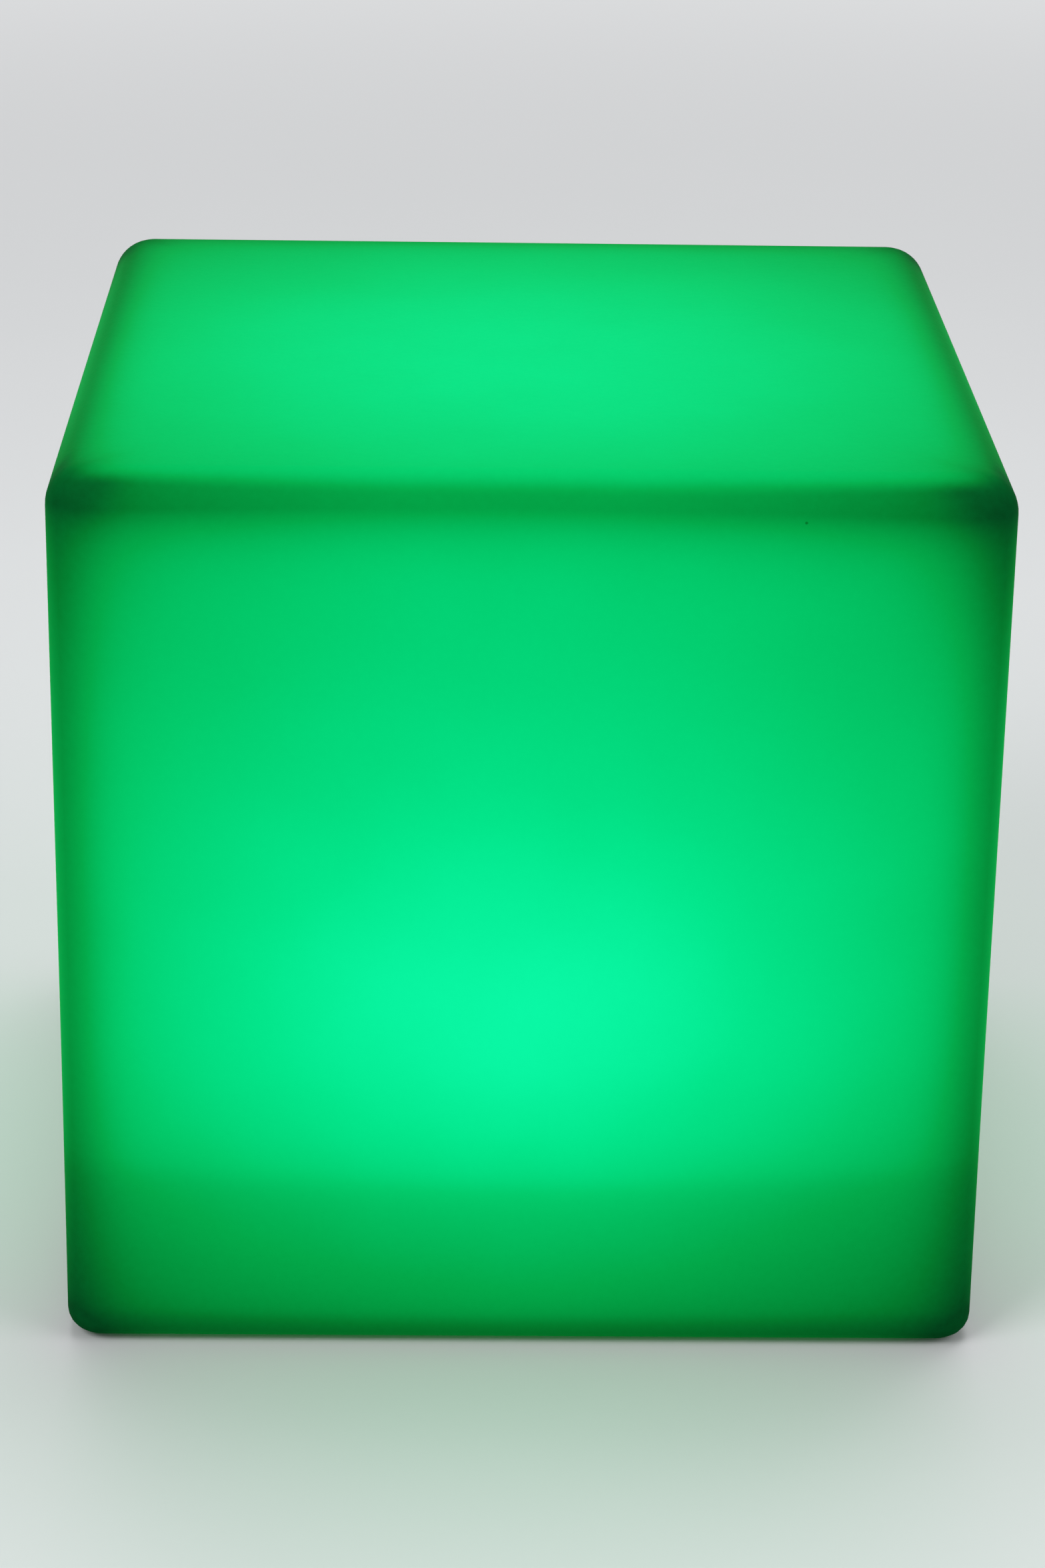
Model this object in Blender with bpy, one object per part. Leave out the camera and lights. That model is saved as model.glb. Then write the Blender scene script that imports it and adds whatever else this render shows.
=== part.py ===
"""Light-up cube stool: a hollow plastic cube with a battery light module in a well in its base.

Metres, +Z up. The origin is under the middle of the cube, on the surface that it stands on, and the
front is -Y. Every length is named here once, and the rest follows from these.
"""

import math

import bmesh
import bpy
from mathutils import Vector

QUARTER_TURN = math.pi / 2

# Clearances and overlaps that many pieces share
SEAT_GAP = 0.0003
SHANK_PLAY = 0.0004
CUT_OVERRUN = 0.0010
JOIN_DEPTH = 0.0010

# Cube shell
CUBE_SIDE = 0.400
CUBE_HEIGHT = 0.400
SHELL_WALL = 0.004
TOP_EDGE_RADIUS = 0.018
TOP_CORNER_EASE = 0.002
BASE_EDGE_RADIUS = 0.010
BASE_CORNER_EASE = 0.006

# Well in the base
WELL_DEPTH = 0.0708
WELL_PLAY = 0.008
WELL_DRAFT = 0.0024
WELL_RIM_RADIUS = 0.006
WELL_CORNER_RADIUS = 0.004

# Bumper feet
FOOT_RADIUS = 0.006
FOOT_THICKNESS = 0.002
FOOT_PROUD = 0.0012
FOOT_ROUNDING = 0.0008
FOOT_PLAY = 0.0005
FOOT_SIDE_INSET = 0.043
FOOT_FRONT_MARGIN = 0.001

# Threaded inserts and the bosses round them
INSERT_RADIUS = 0.004
INSERT_LENGTH = 0.012
INSERT_COLLAR = 0.0015
INSERT_BODY_STEP = 0.0004
INSERT_BOSS_WALL = 0.0047
INSERT_BOSS_CAP = 0.003

# Emitter board, spigot and diffuser
LED_BOARD_RADIUS = 0.0475
LED_BOARD_THICKNESS = 0.0016
LED_BOARD_PLAY = 0.0005
LED_STANDOFF_HEIGHT = 0.0017
LED_STANDOFF_RADIUS = 0.003
LED_SCREW_INSET = 0.0065
LED_RING_INSET = 0.0155
LED_SIDE = 0.005
LED_HEIGHT = 0.0016
RECEIVER_WIDTH = 0.0064
RECEIVER_DEPTH = 0.004
RECEIVER_HEIGHT = 0.007
SPIGOT_WALL = 0.0025
SPIGOT_PLAY = 0.0006
SPIGOT_RISE = 0.0003
DOME_WALL = 0.0016
DOME_RISE = 0.014
DOME_FLANGE = 0.0018
DOME_SKIRT_DROP = 0.0035
DOME_SEAL_THICKNESS = 0.0008

# Module housing
FLANGE_THICKNESS = 0.0034
FLANGE_EDGE = 0.008
FLANGE_ROUNDING = 0.0012
HOUSING_WALL = 0.0024
HOUSING_ROOM = 0.006
HOUSING_FILLET = 0.002
WIRE_HOLE_RADIUS = 0.005
MODULE_SCREW_REACH = 0.016
GASKET_THICKNESS = 0.0014
GASKET_WIDTH = 0.010
GASKET_INSET = 0.004

# Service cover
COVER_THICKNESS = 0.0027
COVER_ROUNDING = 0.001
COVER_SEAL_THICKNESS = 0.001
COVER_BOSS_RADIUS = 0.0035
COVER_BOSS_HEIGHT = 0.012
COVER_BOSS_BITE = 0.0005
GUARD_WALL = 0.0015
GUARD_HEIGHT = 0.0016
GUARD_PLAY = 0.0012

# Machine screws: the module's, the cover's and the boards'
MODULE_SCREW_RADIUS = 0.00245
MODULE_SCREW_HEAD_RADIUS = 0.00475
MODULE_SCREW_HEAD_HEIGHT = 0.0032
MODULE_SCREW_LENGTH = 0.016
MODULE_SCREW_SOCKET = 0.0018
COVER_SCREW_RADIUS = 0.00145
COVER_SCREW_HEAD_RADIUS = 0.0028
COVER_SCREW_HEAD_HEIGHT = 0.0022
COVER_SCREW_LENGTH = 0.010
COVER_SCREW_SOCKET = 0.0012
BOARD_SCREW_RADIUS = 0.0011
BOARD_SCREW_HEAD_RADIUS = 0.0022
BOARD_SCREW_HEAD_HEIGHT = 0.0015
BOARD_SCREW_LENGTH = 0.006
BOARD_SCREW_SOCKET = 0.0009

# Battery pack
CELL_RADIUS = 0.0092
CELL_LENGTH = 0.0652
CELL_CAP_RADIUS = 0.0032
CELL_CAP_HEIGHT = 0.0010
CELL_ROUNDING = 0.0008
CELL_SPACING = 0.0016
CRADLE_FLOOR = 0.0016
CRADLE_WALL = 0.0016
CRADLE_HEIGHT = 0.009
STRIP_THICKNESS = 0.0003
STRIP_HEIGHT = 0.008
STRIP_MARGIN = 0.004
PACK_NEAR_Y = -0.002
WIRE_SPACE = 0.004
PAD_MARGIN = 0.006

# Control board and what it carries
CONTROL_LENGTH = 0.064
CONTROL_DEPTH = 0.032
CONTROL_THICKNESS = 0.0016
CONTROL_GAP = 0.002
CONTROL_POST_RADIUS = 0.003
CONTROL_POST_INSET = 0.004
CHIP_LENGTH = 0.005
CHIP_WIDTH = 0.004
CHIP_HEIGHT = 0.0016
CHIP_OFFSET_Y = 0.008
SWITCH_SIDE = 0.006
SWITCH_HEIGHT = 0.0035
PLUNGER_RADIUS = 0.0016
PLUNGER_LENGTH = 0.0013

# Power button
CONTROL_SPREAD = 0.019
BUTTON_RADIUS = 0.006
BUTTON_PLAY = 0.0004
BUTTON_PROUD = 0.0013
BUTTON_ROUNDING = 0.0006
BUTTON_LIP = 0.0013
BUTTON_LIP_THICKNESS = 0.0012
BUTTON_STEM_RADIUS = 0.0015
BUTTON_STEM_LENGTH = 0.0015
BUTTON_TRAVEL = 0.0012

# Charging jack and its nut
JACK_FLANGE_RADIUS = 0.0055
JACK_FLANGE_THICKNESS = 0.0016
JACK_BARREL_RADIUS = 0.004
JACK_BORE_RADIUS = 0.00285
JACK_BORE_DEPTH = 0.0095
JACK_PIN_RADIUS = 0.00105
JACK_PIN_SETBACK = 0.001
JACK_NUT_RADIUS = 0.00635
JACK_NUT_HEIGHT = 0.0025

# Port cover, its bezel and its hinge
BEZEL_PLAY = 0.0015
BEZEL_WALL = 0.0015
BEZEL_HEIGHT = 0.0034
FLAP_THICKNESS = 0.0018
FLAP_ROUNDING = 0.0005
FLAP_PLUG_PLAY = 0.0007
FLAP_PLUG_HEIGHT = 0.001
FLAP_TAB_LENGTH = 0.004
FLAP_TAB_WIDTH = 0.006
HINGE_REACH = 0.0025
HINGE_LENGTH = 0.006
KNUCKLE_RADIUS = 0.0017
HINGE_PIN_RADIUS = 0.00075
HINGE_PIN_PLAY = 0.0002
EAR_THICKNESS = 0.0018
EAR_RADIUS = 0.0022
PIN_OVERHANG = 0.0004

# Indicator lens
LENS_RADIUS = 0.0015
LENS_PROUD = 0.0004
LENS_LIP = 0.001
LENS_LIP_THICKNESS = 0.001
LENS_PIPE_RADIUS = 0.0012
LENS_BOARD_GAP = 0.001

# Leads
LEAD_RADIUS = 0.0008
LEAD_BOW = 0.010
LEAD_RISE = 0.012
LEAD_BOARD_INSET = 0.003
LEAD_START_SHIFT = 0.002
LEAD_EDGE_INSET = 0.005
RIBBON_WIDTH = 0.006
RIBBON_THICKNESS = 0.0008
RIBBON_BOW = 0.008
RIBBON_SHIFT = 0.004
RIBBON_EDGE_INSET = 0.010

# Counts
LED_COUNT = 8
MODULE_SCREW_COUNT = 6
COVER_SCREW_COUNT = 4
LED_SCREW_COUNT = 3
EDGE_STEPS = 6
SIDE_STEPS = 8
SKIN_POINTS = 4 * (EDGE_STEPS + SIDE_STEPS)
FINE_SIDES = 48
MEDIUM_SIDES = 32
SMALL_SIDES = 24
SCREW_SIDES = 12
LEAD_POINTS = 17

# How far round each ring starts, as shares of its step
MODULE_SCREW_TURN_SHARE = 0.5
LED_SCREW_TURN_SHARE = 0.25
LED_TURN_SHARE = 0.5

# Shares of a screw head's own sizes
HEAD_CROWN_SHARE = 0.55
HEAD_FLAT_SHARE = 0.72
SOCKET_DEPTH_SHARE = 0.6
TIP_CHAMFER_SHARE = 0.3

# Levels, from the floor up
base_z = FOOT_PROUD
ceiling_z = base_z + WELL_DEPTH
ceiling_top_z = ceiling_z + SHELL_WALL
flange_top_z = ceiling_z - GASKET_THICKNESS - 2 * SEAT_GAP
deck_under_z = flange_top_z - FLANGE_THICKNESS
cell_axis_z = deck_under_z - WIRE_SPACE - CELL_RADIUS
cradle_base_z = cell_axis_z - CELL_RADIUS - SEAT_GAP - CRADLE_FLOOR
cover_top_z = cradle_base_z - SEAT_GAP
cover_under_z = cover_top_z - COVER_THICKNESS
rim_z = cover_top_z + COVER_SEAL_THICKNESS + 2 * SEAT_GAP
lip_z = cover_top_z + SEAT_GAP
stem_top_z = lip_z + BUTTON_LIP_THICKNESS + BUTTON_STEM_LENGTH
plunger_z = stem_top_z + BUTTON_TRAVEL + SEAT_GAP
control_z = plunger_z + PLUNGER_LENGTH + SWITCH_HEIGHT + SEAT_GAP
control_top_z = control_z + CONTROL_THICKNESS
led_board_z = flange_top_z + LED_STANDOFF_HEIGHT + SEAT_GAP
led_board_top_z = led_board_z + LED_BOARD_THICKNESS
spigot_top_z = ceiling_top_z + SPIGOT_RISE
dome_seal_z = spigot_top_z + SEAT_GAP
dome_flange_z = dome_seal_z + DOME_SEAL_THICKNESS + SEAT_GAP
dome_base_z = dome_flange_z + DOME_FLANGE

# Radii of the module, from its contents outwards
spigot_inner = LED_BOARD_RADIUS + LED_BOARD_PLAY
spigot_outer = spigot_inner + SPIGOT_WALL
ceiling_hole = spigot_outer + SPIGOT_PLAY
cradle_half = CELL_LENGTH / 2 + CELL_CAP_HEIGHT + STRIP_THICKNESS + 2 * SEAT_GAP + CRADLE_WALL
cell_y = (
    PACK_NEAR_Y + CRADLE_WALL + SEAT_GAP + CELL_RADIUS,
    PACK_NEAR_Y + CRADLE_WALL + SEAT_GAP + 3 * CELL_RADIUS + CELL_SPACING,
)
cradle_far_y = cell_y[1] + CELL_RADIUS + SEAT_GAP + CRADLE_WALL
housing_inner = math.hypot(cradle_half, cradle_far_y) + HOUSING_ROOM
housing_outer = housing_inner + HOUSING_WALL
cover_screw_circle = housing_inner - COVER_BOSS_RADIUS + COVER_BOSS_BITE
module_screw_circle = housing_outer + MODULE_SCREW_REACH
flange_radius = module_screw_circle + FLANGE_EDGE
well_radius = flange_radius + WELL_PLAY
mouth_radius = well_radius + WELL_DRAFT
gasket_inner = ceiling_hole + GASKET_INSET
led_screw_circle = LED_BOARD_RADIUS - LED_SCREW_INSET
led_circle = LED_BOARD_RADIUS - LED_RING_INSET

# Holes that take a shank
module_hole = MODULE_SCREW_RADIUS + SHANK_PLAY
cover_hole = COVER_SCREW_RADIUS + SHANK_PLAY
board_hole = BOARD_SCREW_RADIUS + SHANK_PLAY

# Layout on the service cover
control_near_y = PACK_NEAR_Y - CONTROL_GAP
control_y = control_near_y - CONTROL_DEPTH / 2
control_far_y = control_near_y - CONTROL_DEPTH
control_post_x = CONTROL_LENGTH / 2 - CONTROL_POST_INSET
control_post_y = control_far_y + CONTROL_POST_INSET
button_x = -CONTROL_SPREAD
jack_x = CONTROL_SPREAD
bezel_inner = JACK_FLANGE_RADIUS + BEZEL_PLAY
bezel_outer = bezel_inner + BEZEL_WALL
bezel_z = cover_under_z - BEZEL_HEIGHT
flap_top_z = bezel_z - SEAT_GAP
hinge_y = control_y - bezel_outer - HINGE_REACH
hinge_z = flap_top_z - FLAP_THICKNESS / 2
ear_x = HINGE_LENGTH / 2 + SEAT_GAP
guard_inner = BUTTON_RADIUS + GUARD_PLAY


# Outlines

def circle(radius, z, sides):
    """A level ring of points whose first corner lies where a rounded square's first one does."""
    first = QUARTER_TURN / 2 - 2 * math.pi * (EDGE_STEPS / 2) / SKIN_POINTS
    turns = [first + 2 * math.pi * i / sides for i in range(sides)]
    return [Vector((radius * math.cos(t), radius * math.sin(t), z)) for t in turns]


def hexagon(corner_radius, z, sides):
    """A level six-sided ring with as many points as the circle that it joins."""
    points = []
    for i in range(sides):
        turn = 2 * math.pi * i / sides
        off_middle = turn % (math.pi / 3) - math.pi / 6
        reach = corner_radius * math.cos(math.pi / 6) / math.cos(off_middle)
        points.append(Vector((reach * math.cos(turn), reach * math.sin(turn), z)))
    return points


def rounded_square(half, corner, z):
    """A level square ring with round corners, counted from the corner by +X and +Y."""
    points = []
    for quadrant in range(4):
        start = quadrant * QUARTER_TURN
        middle_turn = start + QUARTER_TURN / 2
        middle = Vector((math.cos(middle_turn), math.sin(middle_turn), 0)) * (half - corner) * math.sqrt(2)
        for i in range(EDGE_STEPS + 1):
            turn = start + QUARTER_TURN * i / EDGE_STEPS
            reach = Vector((math.cos(turn), math.sin(turn), 0)) * corner
            points.append(middle + reach + Vector((0, 0, z)))
        run = Vector((-math.sin(start + QUARTER_TURN), math.cos(start + QUARTER_TURN), 0))
        for i in range(1, SIDE_STEPS):
            points.append(points[quadrant * (EDGE_STEPS + SIDE_STEPS) + EDGE_STEPS]
                          + run * 2 * (half - corner) * i / SIDE_STEPS)
    return points


def arc(middle_r, middle_z, radius, start, end, steps):
    """Profile points (radius, height) round a quarter or less, both ends included."""
    turns = [start + (end - start) * i / steps for i in range(steps + 1)]
    return [(middle_r + radius * math.cos(t), middle_z + radius * math.sin(t)) for t in turns]


# Meshes

def finished(bm, name):
    """The mesh, its faces turned out and its round stretches smooth."""
    bmesh.ops.recalc_face_normals(bm, faces=bm.faces)
    mesh = bpy.data.meshes.new(name)
    bm.to_mesh(mesh)
    bm.free()
    mesh.shade_smooth()
    mesh.set_sharp_from_angle(angle=QUARTER_TURN / 3)
    return mesh


def add_loft(bm, rings, looped=False):
    """Skins the rings in order, and caps the ends unless the last ring meets the first."""
    rows = [[bm.verts.new(point) for point in ring] for ring in rings]
    joined = list(zip(rows, rows[1:])) + ([(rows[-1], rows[0])] if looped else [])
    for low, high in joined:
        for i in range(len(low)):
            j = (i + 1) % len(low)
            bm.faces.new((low[i], low[j], high[j], high[i]))
    if not looped:
        bm.faces.new(rows[0][::-1])
        bm.faces.new(rows[-1])


def loft(name, rings, looped=False):
    bm = bmesh.new()
    add_loft(bm, rings, looped)
    return finished(bm, name)


def turned(name, profile, sides, looped=False):
    """A shape turned about Z through profile points (radius, height)."""
    return loft(name, [circle(r, z, sides) for r, z in profile], looped)


def cylinders(name, places, radius, low, high, sides):
    """One mesh of upright cylinders at the places (x, y)."""
    bm = bmesh.new()
    for x, y in places:
        rings = [circle(radius, z, sides) for z in (low, high)]
        add_loft(bm, [[p + Vector((x, y, 0)) for p in ring] for ring in rings])
    return finished(bm, name)


def cross_bar(name, radius, length, sides):
    """A round bar along X, centred on the origin."""
    rings = [[Vector((x, p.x, p.y)) for p in circle(radius, 0, sides)] for x in (-length / 2, length / 2)]
    return loft(name, rings)


def block(name, low, high):
    """A box between two corners."""
    bm = bmesh.new()
    bmesh.ops.create_cube(bm, size=1)
    low, high = Vector(low), Vector(high)
    bmesh.ops.scale(bm, vec=high - low, verts=bm.verts)
    bmesh.ops.translate(bm, vec=(low + high) / 2, verts=bm.verts)
    return finished(bm, name)


def around(count, radius, turn_share=0.0):
    """Places (x, y) on a circle, the first one turn_share of a step past +X."""
    turns = [2 * math.pi * (i + turn_share) / count for i in range(count)]
    return [(radius * math.cos(t), radius * math.sin(t)) for t in turns]


# Objects

def finish(name, color, roughness, metallic=0.0):
    made = bpy.data.materials.new(name)
    made.use_nodes = True
    shader = made.node_tree.nodes["Principled BSDF"]
    shader.inputs["Base Color"].default_value = (*color, 1)
    shader.inputs["Roughness"].default_value = roughness
    shader.inputs["Metallic"].default_value = metallic
    return made


def place(name, mesh, material, location=(0, 0, 0), rotation=(0, 0, 0), parent=None):
    made = bpy.data.objects.new(name, mesh)
    bpy.context.scene.collection.objects.link(made)
    made.location = location
    made.rotation_euler = rotation
    made.parent = parent
    if not mesh.materials:
        mesh.materials.append(material)
    return made


def helper(name, mesh, location=(0, 0, 0)):
    """A shape that is only cut away from another one or joined to it."""
    made = bpy.data.objects.new(name, mesh)
    bpy.context.scene.collection.objects.link(made)
    made.location = location
    made.hide_render = True
    made.display_type = "WIRE"
    return made


def combine(target, operation, tool):
    step = target.modifiers.new(tool.name, "BOOLEAN")
    step.operation = operation
    step.object = tool


def carrier(name, location=(0, 0, 0)):
    made = bpy.data.objects.new(name, None)
    bpy.context.scene.collection.objects.link(made)
    made.location = location
    return made


def screw_mesh(name, shank, head, head_height, length, socket):
    """A cap screw with its head below the origin and its shank up +Z."""
    flat = head * HEAD_FLAT_SHARE
    crown = head_height * HEAD_CROWN_SHARE
    chamfer = shank * TIP_CHAMFER_SHARE
    profile = [
        (shank - chamfer, length), (shank, length - chamfer), (shank, 0), (head, 0),
        (head, crown - head_height), (flat, -head_height),
    ]
    rings = [circle(r, z, SCREW_SIDES) for r, z in profile]
    rings.append(hexagon(socket, -head_height, SCREW_SIDES))
    rings.append(hexagon(socket, -head_height * (1 - SOCKET_DEPTH_SHARE), SCREW_SIDES))
    return loft(name, rings)


def curve_points(start, start_way, end, end_way):
    """Points on a smooth bend that leaves start along start_way and reaches end from end_way."""
    first, last = Vector(start), Vector(end)
    near, far = first + Vector(start_way), last + Vector(end_way)
    points = []
    for i in range(LEAD_POINTS):
        t = i / (LEAD_POINTS - 1)
        s = 1 - t
        points.append(first * s**3 + near * 3 * s * s * t + far * 3 * s * t * t + last * t**3)
    return points


def lead(name, points, radius, material, parent):
    """A round insulated wire along the points."""
    data = bpy.data.curves.new(name, "CURVE")
    data.dimensions = "3D"
    data.bevel_depth = radius
    data.bevel_resolution = 1
    data.use_fill_caps = True
    spline = data.splines.new("POLY")
    spline.points.add(len(points) - 1)
    for slot, point in zip(spline.points, points):
        slot.co = (*point, 1)
    made = bpy.data.objects.new(name, data)
    bpy.context.scene.collection.objects.link(made)
    data.materials.append(material)
    made.parent = parent
    return made


# Cube shell

def shell_rings():
    """Rings over the outer skin, up through the well in the base and back over the inner skin."""
    half = CUBE_SIDE / 2
    top_corner = TOP_EDGE_RADIUS + TOP_CORNER_EASE
    base_corner = BASE_EDGE_RADIUS + BASE_CORNER_EASE
    top_z = CUBE_HEIGHT
    rings = []

    def skin(inset, edge, corner, level, way, start, end, steps):
        """Rounded squares over one edge, from start to end of its quarter turn."""
        for i in range(steps + 1):
            turn = start + (end - start) * i / steps
            drawn_in = (edge - inset) * (1 - math.cos(turn))
            rise = way * (edge - inset) * math.sin(turn)
            rings.append(rounded_square(half - inset - drawn_in, corner - inset - drawn_in, level + rise))

    def well(points):
        rings.extend(circle(r, z, SKIN_POINTS) for r, z in points)

    top_level = top_z - TOP_EDGE_RADIUS
    base_level = base_z + BASE_EDGE_RADIUS
    rim_r, rim_level = mouth_radius + WELL_RIM_RADIUS, base_z + WELL_RIM_RADIUS
    corner_r, corner_level = well_radius - WELL_CORNER_RADIUS, ceiling_z - WELL_CORNER_RADIUS
    skin(0, TOP_EDGE_RADIUS, top_corner, top_level, 1, QUARTER_TURN, 0, EDGE_STEPS)
    skin(0, BASE_EDGE_RADIUS, base_corner, base_level, -1, 0, QUARTER_TURN, EDGE_STEPS - 2)
    well(arc(rim_r, rim_level, WELL_RIM_RADIUS, -QUARTER_TURN, -2 * QUARTER_TURN, EDGE_STEPS // 2))
    well(arc(corner_r, corner_level, WELL_CORNER_RADIUS, 0, QUARTER_TURN, 3))
    well([(ceiling_hole, ceiling_z), (ceiling_hole, ceiling_top_z)])
    well(arc(corner_r, corner_level, WELL_CORNER_RADIUS + SHELL_WALL, QUARTER_TURN, 0, 3))
    well(arc(rim_r, rim_level, WELL_RIM_RADIUS - SHELL_WALL, -2 * QUARTER_TURN, -QUARTER_TURN, 2))
    skin(SHELL_WALL, BASE_EDGE_RADIUS, base_corner, base_level, -1, QUARTER_TURN, 0, 3)
    skin(SHELL_WALL, TOP_EDGE_RADIUS, top_corner, top_level, 1, 0, QUARTER_TURN, EDGE_STEPS // 2)
    return rings


def make_shell(stool):
    glow = finish("lit_polyethylene", (0.02, 0.78, 0.36), 0.45)
    shell = place("shell", loft("shell", shell_rings()), glow, parent=stool)
    seats = around(MODULE_SCREW_COUNT, module_screw_circle, MODULE_SCREW_TURN_SHARE)
    pocket = INSERT_RADIUS + SEAT_GAP
    pocket_top = ceiling_z + INSERT_LENGTH + SEAT_GAP
    screw_room = flange_top_z - FLANGE_THICKNESS + MODULE_SCREW_LENGTH
    boss_top = max(pocket_top, screw_room) + INSERT_BOSS_CAP
    boss_low = ceiling_z + JOIN_DEPTH
    bosses = cylinders("insert_bosses", seats, pocket + INSERT_BOSS_WALL, boss_low, boss_top, SCREW_SIDES)
    combine(shell, "UNION", helper("insert_bosses", bosses))
    pockets = cylinders("insert_pockets", seats, pocket, ceiling_z - CUT_OVERRUN, pocket_top, SCREW_SIDES)
    combine(shell, "DIFFERENCE", helper("insert_pockets", pockets))
    foot_seats = foot_places()
    sink = base_z + FOOT_THICKNESS - FOOT_PROUD + SEAT_GAP
    dimples = cylinders("foot_dimples", foot_seats, FOOT_RADIUS + FOOT_PLAY, -CUT_OVERRUN, sink, SMALL_SIDES)
    combine(shell, "DIFFERENCE", helper("foot_dimples", dimples))


def foot_places():
    x = CUBE_SIDE / 2 - FOOT_SIDE_INSET
    y = CUBE_SIDE / 2 - BASE_EDGE_RADIUS - FOOT_RADIUS - FOOT_PLAY - FOOT_FRONT_MARGIN
    return [(-x, -y), (x, -y), (x, y), (-x, y)]


def make_feet(stool):
    clear = finish("clear_bumper", (0.75, 0.80, 0.78), 0.25)
    low_edge = arc(FOOT_RADIUS - FOOT_ROUNDING, FOOT_ROUNDING, FOOT_ROUNDING, -QUARTER_TURN, 0, 3)
    mesh = turned("foot", low_edge + [(FOOT_RADIUS, FOOT_THICKNESS)], SMALL_SIDES)
    for i, (x, y) in enumerate(foot_places(), 1):
        place(f"foot_{i}", mesh, clear, (x, y, 0), parent=stool)


def make_inserts(stool):
    brass = finish("insert_brass", (0.72, 0.52, 0.22), 0.35, 1.0)
    bore = MODULE_SCREW_RADIUS + SEAT_GAP
    waist = INSERT_RADIUS - INSERT_BODY_STEP
    profile = [
        (bore, 0), (INSERT_RADIUS, 0), (INSERT_RADIUS, INSERT_COLLAR), (waist, INSERT_COLLAR),
        (waist, INSERT_LENGTH - INSERT_COLLAR), (INSERT_RADIUS, INSERT_LENGTH - INSERT_COLLAR),
        (INSERT_RADIUS, INSERT_LENGTH), (bore, INSERT_LENGTH),
    ]
    mesh = turned("thread_insert", profile, SCREW_SIDES, looped=True)
    for i, (x, y) in enumerate(around(MODULE_SCREW_COUNT, module_screw_circle, MODULE_SCREW_TURN_SHARE), 1):
        place(f"thread_insert_{i}", mesh, brass, (x, y, ceiling_z), parent=stool)


# Light module

def make_gasket(module):
    rubber = finish("gasket_rubber", (0.05, 0.05, 0.055), 0.8)
    outer = gasket_inner + GASKET_WIDTH
    low, high = flange_top_z + SEAT_GAP, ceiling_z - SEAT_GAP
    profile = [(gasket_inner, low), (outer, low), (outer, high), (gasket_inner, high)]
    place("shell_gasket", turned("shell_gasket", profile, FINE_SIDES, looped=True), rubber, parent=module)


def make_housing(module):
    white = finish("housing_plastic", (0.80, 0.81, 0.80), 0.5)
    fillet_r, fillet_z = housing_outer + HOUSING_FILLET, deck_under_z - HOUSING_FILLET
    edge_r = flange_radius - FLANGE_ROUNDING
    edge_z = deck_under_z + FLANGE_ROUNDING
    profile = [(housing_inner, deck_under_z), (housing_inner, rim_z), (housing_outer, rim_z)]
    profile += arc(fillet_r, fillet_z, HOUSING_FILLET, 2 * QUARTER_TURN, QUARTER_TURN, 3)
    profile += arc(edge_r, edge_z, FLANGE_ROUNDING, -QUARTER_TURN, 0, 2)
    profile += [
        (flange_radius, flange_top_z), (spigot_outer, flange_top_z), (spigot_outer, spigot_top_z),
        (spigot_inner, spigot_top_z), (spigot_inner, flange_top_z),
    ]
    housing = place("module_housing", turned("module_housing", profile, FINE_SIDES), white, parent=module)
    cover_seats = around(COVER_SCREW_COUNT, cover_screw_circle)
    boss_low = rim_z + SEAT_GAP
    bosses = cylinders(
        "cover_bosses", cover_seats, COVER_BOSS_RADIUS, boss_low, boss_low + COVER_BOSS_HEIGHT, SCREW_SIDES)
    combine(housing, "UNION", helper("cover_bosses", bosses))
    led_seats = around(LED_SCREW_COUNT, led_screw_circle, LED_SCREW_TURN_SHARE)
    standoff_top = led_board_z - SEAT_GAP
    standoffs = cylinders(
        "led_standoffs", led_seats, LED_STANDOFF_RADIUS, flange_top_z - JOIN_DEPTH, standoff_top, SCREW_SIDES)
    combine(housing, "UNION", helper("led_standoffs", standoffs))
    cover_tip = cover_under_z - SEAT_GAP + COVER_SCREW_LENGTH + SEAT_GAP
    pilots = cylinders(
        "cover_pilots", cover_seats, cover_hole, rim_z - CUT_OVERRUN, cover_tip, SCREW_SIDES)
    combine(housing, "DIFFERENCE", helper("cover_pilots", pilots))
    led_tip = led_board_top_z + SEAT_GAP - BOARD_SCREW_LENGTH - SEAT_GAP
    led_pilots = cylinders(
        "led_pilots", led_seats, board_hole, led_tip, standoff_top + CUT_OVERRUN, SCREW_SIDES)
    combine(housing, "DIFFERENCE", helper("led_pilots", led_pilots))
    flange_seats = around(MODULE_SCREW_COUNT, module_screw_circle, MODULE_SCREW_TURN_SHARE)
    flange_holes = cylinders(
        "flange_holes", flange_seats, module_hole, deck_under_z - CUT_OVERRUN, flange_top_z + CUT_OVERRUN,
        SMALL_SIDES)
    combine(housing, "DIFFERENCE", helper("flange_holes", flange_holes))
    ribbon_hole = cylinders(
        "ribbon_hole", [ribbon_end()], WIRE_HOLE_RADIUS, deck_under_z - CUT_OVERRUN,
        flange_top_z + CUT_OVERRUN, SMALL_SIDES)
    combine(housing, "DIFFERENCE", helper("ribbon_hole", ribbon_hole))


def make_module_screws(module):
    steel = finish("module_screw_steel", (0.62, 0.63, 0.64), 0.3, 1.0)
    mesh = screw_mesh(
        "module_screw", MODULE_SCREW_RADIUS, MODULE_SCREW_HEAD_RADIUS, MODULE_SCREW_HEAD_HEIGHT,
        MODULE_SCREW_LENGTH, MODULE_SCREW_SOCKET)
    for i, (x, y) in enumerate(around(MODULE_SCREW_COUNT, module_screw_circle, MODULE_SCREW_TURN_SHARE), 1):
        place(f"module_screw_{i}", mesh, steel, (x, y, deck_under_z - SEAT_GAP), parent=module)


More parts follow.
